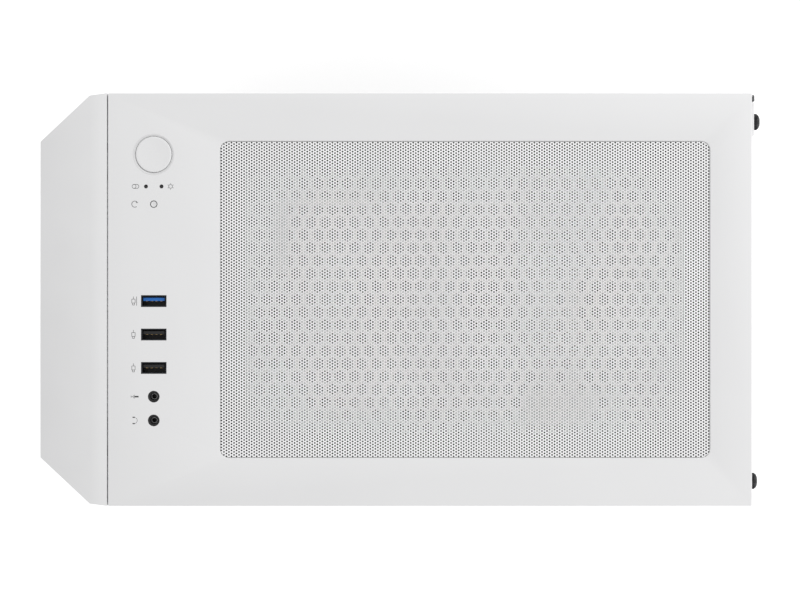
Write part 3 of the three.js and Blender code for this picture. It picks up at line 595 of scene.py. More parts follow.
BLACK_MOULDING = moulded("black_moulding", (0.022, 0.022, 0.024), 0.5)
SOCKET_BLACK = moulded("socket_black", (0.012, 0.012, 0.013), 0.42)
SOCKET_BLUE = moulded("socket_blue", (0.012, 0.155, 0.55), 0.3)
SHELL_BLACK = moulded("shell_black", (0.018, 0.022, 0.03), 0.35)
CONTACT = metal("contact_gold", (0.9, 0.62, 0.25), 0.3)
STEEL = metal("plated_steel", (0.6, 0.61, 0.62), 0.32)
TONGUE_OFF = -0.9 * MM  # the tongue lies off the middle, towards the glass side

for node, tongue_finish, slot in (
    ("fast_port", SOCKET_BLUE, "blue_plastic"),
    ("data_port_a", SOCKET_BLACK, "black_plastic"),
    ("data_port_b", SOCKET_BLACK, "black_plastic"),
):
    low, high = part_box(node)
    x, y = (low.x + high.x) / 2, (low.y + high.y) / 2
    depths = (low.z, high.z)
    shell = boxed((low.x, high.x), (low.y, high.y), depths)
    softened(shell, 0.35 * MM, 2, lambda e: abs(e.verts[0].co.z - e.verts[1].co.z) > 5 * MM)
    inner = boxed(around(x, 2.45 * MM), around(y, 5.95 * MM), (low.z + 1.5 * MM, high.z + MM))
    shell = softened(without(shell, inner), 0.08 * MM, 1, lambda e: e.verts[0].co.z > high.z - 0.1 * MM)
    # Two spring windows are punched in each long wall.
    for side in (-1, 1):
        window = boxed(
            (low.x - MM, high.x + MM), around(y + side * 3 * MM, 0.9 * MM), (high.z - 7 * MM, high.z - 3 * MM)
        )
        shell = without(shell, window)
    piece(f"{node}_shell", shaded(shell), SHELL_BLACK, "chassis", [node])
    tongue = boxed(
        around(x + TONGUE_OFF, 0.85 * MM), around(y, 5.5 * MM), (low.z + 1.4 * MM, high.z - 1.2 * MM)
    )
    softened(tongue, 0.15 * MM, 2)
    piece(f"{node}_tongue", shaded(tongue), tongue_finish)
    contacts = bmesh.new()
    for i in range(4):
        strip = boxed(
            around(x + TONGUE_OFF + 0.9 * MM, 0.06 * MM),
            around(y + (i - 1.5) * 2.4 * MM, 0.55 * MM),
            (low.z + 2 * MM, high.z - 1.9 * MM),
        )
        added(contacts, strip)
    piece(f"{node}_contacts", contacts, CONTACT)

JACK_BARREL = 2.85 * MM
for node in ("microphone_jack", "headphone_jack"):
    low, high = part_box(node)
    at = ((low.x + high.x) / 2, (low.y + high.y) / 2)
    profile = [(0, low.z + 1.5 * MM), (1.75 * MM, low.z + 1.5 * MM), (1.75 * MM, high.z - 0.5 * MM)]
    profile += [(1.95 * MM, high.z - 0.25 * MM), (2.2 * MM, high.z - 0.2 * MM)]
    profile += [(2.3 * MM, high.z), (2.7 * MM, high.z), (JACK_BARREL, high.z - 0.15 * MM)]
    profile += [(JACK_BARREL, low.z + 8 * MM), (3.2 * MM, low.z + 8 * MM), (3.2 * MM, low.z), (0, low.z)]
    barrel = shaded(turned(profile, at, 48), 40)
    piece(f"{node}_barrel", barrel, SOCKET_BLACK, "chassis", [node])
    spring = turned(
        [(1.3 * MM, low.z + 4 * MM), (1.45 * MM, low.z + 4 * MM), (1.45 * MM, high.z - 4 * MM)]
        + [(1.3 * MM, high.z - 4 * MM), (1.3 * MM, low.z + 4 * MM)],
        at,
        24,
    )
    piece(f"{node}_spring", shaded(spring), STEEL)


# ---- Printed signs ----
# Small signs in grey and black ink, screen printed on the deck beside each lamp and socket and the
# reset button. The ink stands a few hundredths of a millimetre proud.

INK_DEPTH = 0.03 * MM
INK = moulded("grey_ink", (0.16, 0.16, 0.165), 0.6)
BLACK_INK = moulded("black_ink", (0.04, 0.04, 0.042), 0.6)


def arc(radius, width, start=0.0, sweep=360.0, centre=(0, 0)):
    """A flat ring or part of one; angles are in degrees from +X."""
    shape = bmesh.new()
    ends = [shape.verts.new((radius + side * width / 2, 0, 0)) for side in (-1, 1)]
    edge = shape.edges.new(ends)
    steps = max(4, round(sweep / 12))
    bmesh.ops.spin(
        shape,
        geom=[*ends, edge],
        cent=(0, 0, 0),
        axis=(0, 0, 1),
        angle=math.radians(sweep),
        steps=steps,
        use_merge=sweep == 360,
    )
    bmesh.ops.remove_doubles(shape, verts=shape.verts, dist=0.001 * MM)
    return moved(shape, (*centre, 0), Matrix.Rotation(math.radians(start), 4, "Z"))


def bar(length, width, centre=(0, 0), turn=0.0):
    """A flat strip along X, turned by some degrees."""
    shape = bmesh.new()
    bmesh.ops.create_grid(shape, x_segments=1, y_segments=1, size=0.5)
    bmesh.ops.scale(shape, vec=(length, width, 1), verts=shape.verts)
    return moved(shape, (*centre, 0), Matrix.Rotation(math.radians(turn), 4, "Z"))


def printed(name, place, ink, *marks):
    """Prints flat marks on the deck. X in the marks runs across the tower and Y to the rear."""
    sign = bmesh.new()
    for mark in marks:
        added(sign, mark)
    bmesh.ops.recalc_face_normals(sign, faces=sign.faces)
    faces = [f for f in sign.faces if f.normal.z < 0]
    bmesh.ops.reverse_faces(sign, faces=faces)
    raised = bmesh.ops.extrude_face_region(sign, geom=sign.faces[:])["geom"]
    verts = [v for v in raised if isinstance(v, bmesh.types.BMVert)]
    bmesh.ops.translate(sign, vec=(0, 0, INK_DEPTH), verts=verts)
    bmesh.ops.recalc_face_normals(sign, faces=sign.faces)
    moved(sign, (place[0], place[1], DECK + 0.002 * MM))
    piece(name, sign, ink)


LAMP_X = (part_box("light_pipe")[0].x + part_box("light_pipe")[1].x) / 2
LINE = power_at[1]
LABELS = LINE - 9.7 * MM
W = 0.24 * MM  # width of a printed line
printed(
    "disk_sign",
    (LAMP_X, LABELS + 0.2 * MM),
    INK,
    arc(1.0 * MM, W, centre=(0, -0.5 * MM)),
    bar(1.7 * MM, W, (1.0 * MM, 0.1 * MM), 90),
    bar(1.7 * MM, W, (-1.0 * MM, 0.1 * MM), 90),
    arc(1.0 * MM, W, 0, 180, (0, 0.95 * MM)),
)
REACH = 1.45 * MM
rays = [
    bar(0.5 * MM, W, (REACH * math.cos(a), REACH * math.sin(a)), math.degrees(a)) for a in SIXTHS
]
printed("lamp_sign", (LAMP_X, LINE + 8.6 * MM), INK, arc(0.95 * MM, W), *rays)
printed(
    "reset_sign",
    (reset_at[0], LABELS + 0.1 * MM),
    INK,
    arc(1.55 * MM, W * 1.2, 135, 265),
    bar(0.9 * MM, W * 1.2, (-1.1 * MM, 0.75 * MM), 10),
    bar(0.9 * MM, W * 1.2, (-0.75 * MM, 1.2 * MM), 100),
)
for node in ("fast_port", "data_port_a", "data_port_b"):
    low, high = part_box(node)
    x = (low.x + high.x) / 2
    # A plug seen from its side: a square body, a shorter tip and a stub of cable.
    plug = [
        bar(2.0 * MM, W, (0, 0.85 * MM)),
        bar(2.0 * MM, W, (0, -0.85 * MM)),
        bar(1.7 * MM, W, (1.0 * MM, 0), 90),
        bar(1.7 * MM, W, (-1.0 * MM, 0), 90),
        bar(1.0 * MM, W, (1.5 * MM, 0.5 * MM)),
        bar(1.0 * MM, W, (1.5 * MM, -0.5 * MM)),
        bar(1.0 * MM, W, (2.0 * MM, 0), 90),
        bar(1.2 * MM, W, (-1.7 * MM, 0)),
    ]
    if node == "fast_port":
        plug.append(bar(4.6 * MM, W, (0, 1.6 * MM)))
    printed(f"{node}_sign", (x, LABELS - 0.6 * MM), INK, *plug)
microphone_x = (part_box("microphone_jack")[0].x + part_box("microphone_jack")[1].x) / 2
headphone_x = (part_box("headphone_jack")[0].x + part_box("headphone_jack")[1].x) / 2
printed(
    "microphone_sign",
    (microphone_x, LABELS),
    BLACK_INK,
    bar(2.2 * MM, 0.75 * MM, (0, 0.9 * MM), 90),
    arc(0.8 * MM, W * 0.7, 180, 180, (0, 0.1 * MM)),
    bar(1.2 * MM, W * 0.7, (0, -1.2 * MM), 90),
    bar(1.1 * MM, W * 0.7, (0, -1.8 * MM)),
)
printed(
    "headphone_sign",
    (headphone_x, LABELS - 0.2 * MM),
    BLACK_INK,
    bar(1.1 * MM, 0.55 * MM, (1.6 * MM, -0.3 * MM), 90),
    bar(1.1 * MM, 0.55 * MM, (-1.6 * MM, -0.3 * MM), 90),
    arc(1.55 * MM, W * 0.6, 0, 180, (0, 0)),
)


# ---- Front panel ----
# A satin white plastic shell with chamfered sides, snapped on to the chassis by four studs. Its
# window is filled from behind by a sheet of fine white steel mesh.

SATIN_WHITE = moulded("satin_white", (0.775, 0.775, 0.78), 0.45)
panel_shape = softened(
    copied("front_panel"), 0.5 * MM, 3, lambda e: e.calc_length() > 12 * MM, sharper_than=12
)
piece("front_shell", shaded(panel_shape), SATIN_WHITE, "front_cover", ["front_panel"])

mesh_low, mesh_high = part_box("front_mesh")
mesh_half = (mesh_high - mesh_low) / 2
MESH_PITCH = 4.4 * MM
front_mesh = perforated(
    (2 * mesh_half.x, 2 * mesh_half.z), MESH_PITCH, MESH_PITCH * math.cos(math.pi / 6), 3.1 * MM
)
trimmed_box(front_mesh, mesh_half.x, mesh_half.z)
bmesh.ops.solidify(front_mesh, geom=front_mesh.faces[:], thickness=mesh_high.y - mesh_low.y)
moved(
    front_mesh,
    (0, mesh_low.y, (mesh_low.z + mesh_high.z) / 2),
    Matrix.Rotation(math.pi / 2, 4, "X"),
)
MESH_WHITE = powder_coat("mesh_white", (0.76, 0.76, 0.765))
piece("front_mesh_sheet", front_mesh, MESH_WHITE, "front_cover", ["front_mesh"])


# ---- Side panels ----
# The right side is a folded sheet of white steel. The glass side is a sheet of smoked tempered
# glass with polished edges on a white steel frame, whose rear flange takes the thumbscrews.

side_shape = softened(
    copied("right_side_panel"),
    1.1 * MM,
    3,
    lambda e: e.calc_length() > 100 * MM and all(v.co.x > SIDE for v in e.verts),
)
piece("steel_side_skin", shaded(side_shape), WHITE_COAT, "steel_side", ["right_side_panel"])

frame_shape = softened(copied("glass_frame"), 0.25 * MM, 2, lambda e: e.calc_length() > 100 * MM)
piece("glass_surround", shaded(frame_shape), WHITE_COAT, "glass_side", ["glass_frame"])

SMOKED = Finish("smoked_glass", (0.15, 0.155, 0.16), 0.02, Transmission_Weight=1.0, IOR=1.5)
glass_low, glass_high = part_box("glass_sheet")
pane = softened(block(glass_low, glass_high), 0.6 * MM, 2)
piece("glass_pane", shaded(pane), SMOKED.material, "glass_side", ["glass_sheet"])


# ---- Thumbscrews ----
# Four captive steel screws, blackened. Each has a knurled head with a cross recess, and seats on the
# rear flange of its own side panel.


def black_oxide(name):
    finish = Finish(name, (0.03, 0.03, 0.032), 0.36, Metallic=0.7)
    worn = finish.noise(1.5 * MM, 4)
    finish.fill(finish.shader, {"Roughness": 0.26 + 0.22 * worn})
    finish.fill(
        finish.shader, {"Base Color": finish.mixed(worn**3, (0.024, 0.024, 0.026), (0.07, 0.07, 0.072))}
    )
    finish.bumped(finish.noise(0.3 * MM, 3), 0.02 * MM)
    return finish.material


BLACK_OXIDE = black_oxide("black_oxide")
TEETH, TOOTH = 28, 0.35 * MM
TO_REAR = Matrix.Rotation(-math.pi / 2, 4, "X")  # carries +Z to +Y
for side in ("left", "right"):
    for level in ("low", "high"):
        node = f"thumbscrew_{side}_{level}"
        low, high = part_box(node)
        radius = (high.x - low.x) / 2
        panel = "glass_frame" if side == "left" else "right_side_panel"
        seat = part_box(panel)[1].y + 0.3 * MM - low.y  # the head's underside, from the shank's tip
        head = high.y - low.y - seat
        waist = radius - TOOTH  # the rim between its teeth
        screw = turned(
            [(0, 0), (1.8 * MM, 0), (1.8 * MM, seat), (waist, seat), (waist, seat + 0.5 * head)]
            + [(0.8 * radius, seat + 0.78 * head), (0.5 * radius, seat + 0.95 * head), (0, seat + head)],
            (0, 0),
            TEETH * 2,
        )
        # Every second facet of the rim stands out as a tooth.
        rim = [
            v
            for v in screw.verts
            if math.hypot(v.co.x, v.co.y) > waist - 0.05 * MM
            and round(math.atan2(v.co.y, v.co.x) / math.tau * TEETH * 2) % 2
        ]
        for v in rim:
            v.co.xy *= radius / waist
        # The cross is cut one slot after the other.
        slot_depth = (seat + head - 1.3 * MM, seat + 2 * head)
        screw = without(screw, boxed(around(0, 0.45 * MM), around(0, 2.2 * MM), slot_depth))
        screw = without(screw, boxed(around(0, 2.2 * MM), around(0, 0.45 * MM), slot_depth))
        place = ((low.x + high.x) / 2, low.y, (low.z + high.z) / 2)
        moved(screw, place, TO_REAR)
        name, body = f"{side}_{level}_screw", f"screw_{side}_{level}"
        piece(name, shaded(screw), BLACK_OXIDE, body, [node])


# ---- Rear panel ----
# One white steel sheet with a honeycomb grille for the fan and openings for the supply, the board's
# sockets and the cards. Punched covers close five of the seven card slots.


def along_y(radius, x, z, low, high, sides=24, turn=0.0):
    """A round bar or prism that runs along Y."""
    return moved(prism(radius, sides, low, high, (x, -z), turn), turn=TO_REAR)


def along_x(radius, y, z, low, high, sides=24):
    """A round bar that runs along X."""
    return moved(prism(radius, sides, low, high), (0, y, z), Matrix.Rotation(math.pi / 2, 4, "Y"))


def gathered(*shapes):
    """Puts separate shapes together in one."""
    whole = bmesh.new()
    for shape in shapes:
        added(whole, shape)
    return whole


def middle(node):
    return (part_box(node)[0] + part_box(node)[1]) / 2


def honeycomb(x_range, z_range, y_range, inside=lambda x, z: True):
    """Six-sided cutting tools on a honeycomb lattice over a stretch of an upright sheet."""
    tools = bmesh.new()
    columns = int((x_range[1] - x_range[0]) / VENT_ROW)
    rows = int((z_range[1] - z_range[0]) / VENT_PITCH)
    for column in range(columns + 1):
        for row in range(rows + 1 - column % 2):
            x = sum(x_range) / 2 + (column - columns / 2) * VENT_ROW
            z = sum(z_range) / 2 + (row + column % 2 / 2 - rows / 2) * VENT_PITCH
            if inside(x, z):
                added(tools, along_y(hexagon, x, z, *y_range, sides=6, turn=math.pi / 6))
    return tools


rear_low, rear_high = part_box("rear_panel")
through = (rear_low.y - MM, rear_high.y + MM)
bracket_low, bracket_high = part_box("graphics_card_bracket")
SLOT_PITCH = 20.32 * MM
FIRST_SLOT = bracket_high.z + 10.5 * MM
slot_heights = [FIRST_SLOT - SLOT_PITCH * i for i in range(7)]
CARD_SLOTS = (1, 2)
slot_x = (bracket_low.x + 12 * MM, bracket_high.x - 4 * MM)
fan_centre = middle("rear_fan_frame")
GRILLE = 54 * MM
shield_low, shield_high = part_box("port_shield")
supply_low, supply_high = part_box("supply_case")
LEDGE = 4 * MM  # what the sheet overlaps the supply by

openings = gathered(
    boxed(
        (shield_low.x - 0.3 * MM, shield_high.x + 0.3 * MM),
        through,
        (shield_low.z - 0.3 * MM, shield_high.z + 0.3 * MM),
    ),
    boxed(
        (supply_low.x + LEDGE, supply_high.x - LEDGE),
        through,
        (supply_low.z + LEDGE, supply_high.z - LEDGE),
    ),
    *[boxed(slot_x, through, around(slot_heights[i], 6.3 * MM)) for i in CARD_SLOTS],
)
for side in ("left", "right"):
    for level in ("low", "high"):
        at = middle(f"thumbscrew_{side}_{level}")
        added(openings, along_y(2.4 * MM, at.x, at.z, *through))
rear_sheet = without(block(rear_low, rear_high), openings)
grille = honeycomb(
    around(fan_centre.x, GRILLE),
    around(fan_centre.z, GRILLE),
    through,
    lambda x, z: math.hypot(x - fan_centre.x, z - fan_centre.z) < GRILLE,
)
rear_sheet = shaded(without(rear_sheet, grille))
piece("rear_sheet", rear_sheet, WHITE_COAT, "chassis", ["rear_panel"])

COVER = (rear_high.y + 0.02 * MM, rear_high.y + 0.8 * MM)
punch_range = (COVER[0] - MM, COVER[1] + MM)
for i, z in enumerate(slot_heights):
    if i not in CARD_SLOTS:
        cover = boxed((bracket_low.x, bracket_high.x - 2 * MM), COVER, around(z, 8.4 * MM))
        softened(cover, 0.2 * MM, 2)
        punches = gathered(
            *[
                boxed(
                    around(slot_x[0] + (j + 0.5) * 6.3 * MM, 2.3 * MM),
                    punch_range,
                    around(z + dz, 1.3 * MM),
                )
                for j in range(16)
                for dz in (-3.6 * MM, 0, 3.6 * MM)
            ]
        )
        piece(f"slot_cover_{i + 1}", shaded(without(cover, punches)), WHITE_COAT)


def screw_head(name, x, z, y, radius, height):
    """A domed cross-head screw that faces the rear."""
    profile = [(0, 0), (radius, 0), (radius, 0.4 * height), (0.8 * radius, 0.85 * height)]
    head = turned(profile + [(0.45 * radius, height), (0, height)], (0, 0), 28)
    narrow, wide, deep = around(0, 0.16 * radius), around(0, 0.6 * radius), (0.45 * height, 2 * height)
    head = without(head, boxed(narrow, wide, deep))
    head = moved(without(head, boxed(wide, narrow, deep)), (x, y, z), TO_REAR)
    piece(name, shaded(head), BLACK_OXIDE)


for i, z in enumerate(slot_heights):
    screw_head(f"slot_screw_{i + 1}", bracket_low.x - 5 * MM, z, rear_high.y, 3.2 * MM, 2.2 * MM)
FAN_HOLES = 52.5 * MM
for i, (across, up) in enumerate([(-1, -1), (1, -1), (1, 1), (-1, 1)]):
    x, z = fan_centre.x + across * FAN_HOLES, fan_centre.z + up * FAN_HOLES
    screw_head(f"rear_fan_screw_{i + 1}", x, z, rear_high.y, 3.4 * MM, 1.8 * MM)
    x = (supply_low.x + supply_high.x) / 2 + across * 66 * MM
    z = (supply_low.z + supply_high.z) / 2 + up * 41.9 * MM
    screw_head(f"supply_screw_{i + 1}", x, z, rear_high.y, 2.8 * MM, 1.8 * MM)


# ---- Rear sockets ----
# A steel shield around the board's own sockets: data pairs, a wide video socket, a network socket
# and six round sound sockets. None of them is lettered.

shield = softened(block(shield_low, shield_high), 0.25 * MM, 2)
piece("shield_plate", shaded(shield), STEEL, "chassis", ["port_shield"])
RIM = (shield_high.y - 0.2 * MM, shield_high.y + 1.9 * MM)
shield_x = (shield_low.x + shield_high.x) / 2
SOCKETS = (  # millimetres below the shield's top, off its middle, tall, across
    (14, -8, 13, 6),
    (14, 8, 13, 6),
    (31, -8, 13, 6),
    (31, 8, 13, 6),
    (53, 0, 20, 6.5),
    (76, -9, 13, 6),
    (76, 7, 16, 13.5),
    (96, -8, 13, 6),
    (96, 8, 13, 6),
)
shells, tongues = bmesh.new(), bmesh.new()
for below, off, tall, across in SOCKETS:
    x, z = shield_x + off * MM, shield_high.z - below * MM
    wide, high = across * MM / 2, tall * MM / 2
    shell = boxed(around(x, wide), RIM, around(z, high))
    bore = boxed(around(x, wide - 0.4 * MM), (RIM[0] + 0.3 * MM, RIM[1] + MM), around(z, high - 0.4 * MM))
    added(shells, without(shell, bore))
    tongue_y = (RIM[0] + 0.2 * MM, RIM[1] - 0.5 * MM)
    added(tongues, boxed(around(x - 0.2 * wide, 0.2 * wide), tongue_y, around(z, high - 1.3 * MM)))
piece("rear_socket_shells", shells, STEEL)
piece("rear_socket_tongues", tongues, SOCKET_BLACK)
for row in range(3):
    for column in range(2):
        x, z = shield_x + (column * 2 - 1) * 8 * MM, shield_high.z - (117 + 14 * row) * MM
        ring = turned(
            [(1.8 * MM, 0), (3.3 * MM, 0), (3.3 * MM, 1.4 * MM), (2.9 * MM, 1.8 * MM)]
            + [(1.8 * MM, 1.8 * MM), (1.8 * MM, 0)],
            (0, 0),
            32,
        )
        moved(ring, (x, RIM[0], z), TO_REAR)
        piece(f"sound_socket_{row + 1}_{column + 1}", shaded(ring), SOCKET_BLACK)


# ---- Mains inlet and rocker ----
# A moulded black inlet with three flat steel pins in its recess, and a plain black rocker switch
# beside it. Both are set in the rear of the supply.

inlet = softened(copied("mains_inlet"), 0.5 * MM, 2, lambda e: e.calc_length() > 10 * MM)
piece("inlet_housing", shaded(inlet), BLACK_MOULDING, "chassis", ["mains_inlet"])
inlet_at, inlet_rear = middle("mains_inlet"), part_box("mains_inlet")[1].y
for i, (dx, dz) in enumerate([(-7, -2), (0, 2.2), (7, -2)]):
    pin = boxed(
        around(inlet_at.x + dx * MM, 1 * MM),
        (inlet_rear - 15 * MM, inlet_rear - 2 * MM),
        around(inlet_at.z + dz * MM, 2 * MM),
    )
    softened(pin, 0.3 * MM, 2)
    piece(f"inlet_pin_{i + 1}", shaded(pin), STEEL)
rocker = softened(copied("supply_rocker"), 0.4 * MM, 2)
piece("rocker_cap", shaded(rocker), BLACK_MOULDING, "rocker", ["supply_rocker"])


# ---- Case fans ----
# Square black frames with rounded corners and screw holes, and rotors with a rounded hub and nine
# blades that twist and sweep from root to tip. The case fans have white rotors, the cooler's is black.

FAN_WHITE = moulded("fan_white", (0.66, 0.66, 0.67), 0.42)
FAN_BLACK = moulded("fan_black", (0.016, 0.016, 0.018), 0.42)
BLADE_STEPS = 6
FRAME_FACE = 59.9 * MM  # a point further from the axis than this lies on an outer face of the frame


def impeller(tip, hub, low, high, blades):
    """A fan rotor about Z."""
    profile = [(0, low), (hub - 1.5 * MM, low), (hub, low + 1.5 * MM), (hub, high - 2.5 * MM)]
    profile += [(hub - 0.7 * MM, high - 0.8 * MM), (hub - 2.5 * MM, high), (0, high)]
    rotor = turned(profile, (0, 0), 48)
    for blade in range(blades):
        vane = bmesh.new()
        bmesh.ops.create_grid(vane, x_segments=BLADE_STEPS, y_segments=BLADE_STEPS, size=0.5)
        for vert in vane.verts:
            share, chord = vert.co.x + 0.5, vert.co.y
            radius = hub - MM + (tip - hub + MM) * share
            angle = math.tau / blades * (blade + 0.86 * chord) + 0.5 * share**1.5
            rise = (0.74 - 0.22 * share) * (chord + 0.2 * (0.25 - chord**2))
            height = (low + high) / 2 + (high - low) * rise
            vert.co = (radius * math.cos(angle), radius * math.sin(angle), height)
        bmesh.ops.solidify(vane, geom=vane.faces[:], thickness=1.0 * MM)
        bmesh.ops.recalc_face_normals(vane, faces=vane.faces)
        added(rotor, vane)
    return rotor


WHITE_WHEEL, BLACK_WHEEL = (FAN_WHITE, "fan_white"), (FAN_BLACK, "black_plastic")
for name, body, (paint, slot) in (
    ("front_fan_{}_bottom", "front_rotor_bottom", WHITE_WHEEL),
    ("front_fan_{}_middle", "front_rotor_middle", WHITE_WHEEL),
    ("front_fan_{}_top", "front_rotor_top", WHITE_WHEEL),
    ("rear_fan_{}", "rear_rotor", WHITE_WHEEL),
    ("cpu_fan_{}", "cpu_rotor", BLACK_WHEEL),
):
    node = name.format("frame")
    low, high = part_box(node)
    at = (low + high) / 2
    casing = softened(
        copied(node),
        0.8 * MM,
        2,
        lambda e: all(max(abs(v.co.x - at.x), abs(v.co.z - at.z)) > FRAME_FACE for v in e.verts),
    )
    corner_holes = gathered(
        *[
            along_y(2.15 * MM, at.x + a * FAN_HOLES, at.z + b * FAN_HOLES, low.y - MM, high.y + MM)
            for a in (-1, 1)
            for b in (-1, 1)
        ]
    )
    casing = shaded(without(casing, corner_holes), 40)
    piece(f"{node}_casing", casing, FAN_BLACK, "chassis", [node])
    rotor_node = name.format("rotor")
    rotor_low, rotor_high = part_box(rotor_node)
    spinner = impeller(56.5 * MM, 20 * MM, rotor_low.y + 0.1 * MM, rotor_high.y - 4 * MM, 9)
    moved(spinner, (at.x, 0, at.z), TO_REAR)
    piece(f"{rotor_node}_wheel", shaded(spinner, 40), paint, body, [rotor_node])


# ---- Motherboard ----
# A dark board with fine tracks. On it stand the memory and card slots, the processor's
# socket, finned heatsinks, the rear socket block, chokes, capacitors, chips and a battery.


def circuit(name, colour):
    """Solder mask over copper tracks, with a slight step at each track."""
    finish = Finish(name, colour, 0.38)
    settings = {"feature": "DISTANCE_TO_EDGE"}
    inputs = {"Vector": finish.place, "Scale": 1 / (5 * MM), "Randomness": 0.35}
    apart = finish.node("ShaderNodeTexVoronoi", settings, inputs)
    track = apart.maths("LESS_THAN", apart, 0.07)
    lighter = tuple(2.2 * part + 0.01 for part in colour)
    finish.fill(finish.shader, {"Base Color": finish.mixed(track, colour, lighter)})
    finish.fill(finish.shader, {"Roughness": 0.34 + 0.12 * finish.noise(4 * MM)})
    finish.bumped(track, 0.03 * MM)
    return finish.material


def standing(x_range, y, z, half_y, half_z, edge=0.3 * MM):
    """A part on the board, given its reach off the board and its middle and half sizes."""
    return softened(boxed(x_range, around(y, half_y), around(z, half_z)), edge, 2)


BOARD_INK = circuit("board_mask", (0.012, 0.014, 0.018))
ALLOY = metal("brushed_alloy", (0.72, 0.73, 0.74), 0.3)
DARK_ALLOY = metal("dark_alloy", (0.10, 0.10, 0.11), 0.34)
board_low, board_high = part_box("motherboard")
FACE = board_high.x - 1.6 * MM
BOARD_REAR = board_high.y - 2.2 * MM
board = block((FACE, board_low.y, board_low.z), (board_high.x, BOARD_REAR, board_high.z))
softened(board, 0.2 * MM, 1)
piece("board_plate", shaded(board), BOARD_INK, "chassis", ["motherboard"])

memory_z = (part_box("memory_module_1")[0].z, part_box("memory_module_1")[1].z)
memory_middle, memory_half = sum(memory_z) / 2, (memory_z[1] - memory_z[0]) / 2
first_memory_y, second_memory_y = middle("memory_module_1").y, middle("memory_module_2").y
memory_pitch = (second_memory_y - first_memory_y) / 2
for i in range(4):
    y = first_memory_y + (i - 1) * memory_pitch
    slot = standing((FACE - 6.0 * MM, FACE), y, memory_middle, 3.2 * MM, memory_half + 3 * MM)
    groove = boxed(
        (FACE - 8 * MM, FACE - 2 * MM), around(y, 0.9 * MM), around(memory_middle, memory_half + 0.5 * MM)
    )
    piece(f"memory_slot_{i + 1}", shaded(without(slot, groove)), BLACK_MOULDING)
    for end in (-1, 1):
        latch_z = memory_middle + end * (memory_half + 4.5 * MM)
        latch = standing((FACE - 13 * MM, FACE), y, latch_z, 2.6 * MM, 1.3 * MM)
        name = f"memory_latch_{i + 1}_{'low' if end < 0 else 'high'}"
        piece(name, shaded(latch), BLACK_MOULDING)

cooler_at = middle("cpu_heatsink")
processor_socket = standing((FACE - 6 * MM, FACE), cooler_at.y, cooler_at.z, 22.5 * MM, 22.5 * MM)
piece("processor_socket", shaded(processor_socket), STEEL)
CARD_SOCKET_Y = 81 * MM
for i in (1, 4):
    z = FIRST_SLOT - SLOT_PITCH * i
    slot = standing((FACE - 11 * MM, FACE), CARD_SOCKET_Y, z, 44.5 * MM, 3.8 * MM)
    groove = boxed((FACE - 12 * MM, FACE - 3 * MM), around(CARD_SOCKET_Y, 43 * MM), around(z, 0.9 * MM))
    piece(f"card_socket_{i}", shaded(without(slot, groove)), BLACK_MOULDING)
rear_block = standing((33 * MM, FACE), 160.7 * MM, 334 * MM, 13.8 * MM, 66 * MM, 0.6 * MM)
piece("rear_socket_block", shaded(rear_block), STEEL)
plug_socket = standing((56 * MM, FACE), -63.7 * MM, 326 * MM, 5.5 * MM, 26 * MM)
piece("board_power_socket", shaded(plug_socket), BLACK_MOULDING)
for name, x, y_range, z_range, fins in (
    ("regulator_sink", 42 * MM, (116.8 * MM, 144.7 * MM), (300 * MM, 410 * MM), 14),
    ("bridge_sink", 61 * MM, (-41.2 * MM, 8.7 * MM), (150 * MM, 196 * MM), 6),
):
    sink = softened(boxed((x, FACE), y_range, z_range), 0.8 * MM, 2)
    span = (z_range[1] - z_range[0]) / fins
    grooves = gathered(
        *[
            boxed(
                (x - MM, x + 0.35 * (FACE - x)),
                (y_range[0] - MM, y_range[1] + MM),
                around(z_range[0] + (i + 0.5) * span, 0.22 * span),
            )
            for i in range(fins)
        ]
    )
    piece(name, shaded(without(sink, grooves)), DARK_ALLOY)
CAN = metal("capacitor_can", (0.5, 0.5, 0.52), 0.3)
CLEAR_OF_COOLER = (2, 3, 4, 5)
for i in range(12):
    y, z = 107 * MM - i % 2 * 0.5 * MM, 300 * MM + i * 9.6 * MM
    choke = standing((FACE - 6 * MM, FACE), y, z, 3.2 * MM, 3.4 * MM)
    if i not in CLEAR_OF_COOLER:
        piece(f"choke_{i + 1}", shaded(choke), DARK_ALLOY)
for i in range(10):
    y, z = -58 * MM + i % 5 * 17 * MM, 252 * MM - i // 5 * 20 * MM
    can = softened(along_x(3.1 * MM, y, z, FACE - 8 * MM, FACE, 20), 0.3 * MM, 1)
    piece(f"capacitor_{i + 1}", shaded(can), CAN)
battery = softened(along_x(10 * MM, 24 * MM, 140 * MM, FACE - 4 * MM, FACE, 40), 0.5 * MM, 2)
piece("clock_battery", shaded(battery), STEEL)
for i, (y, z, half) in enumerate([(-20, 222, 5), (20, 222, 4), (60, 150, 5), (100, 150, 3), (140, 214, 4)]):
    chip = standing((FACE - 1.2 * MM, FACE), y * MM, z * MM, half * MM, half * MM, 0.15 * MM)
    piece(f"chip_{i + 1}", shaded(chip), SOCKET_BLACK)


# ---- Processor cooler ----
# A stack of thin fins coated black, on six plated heat pipes that rise from a plated base on the
# processor.

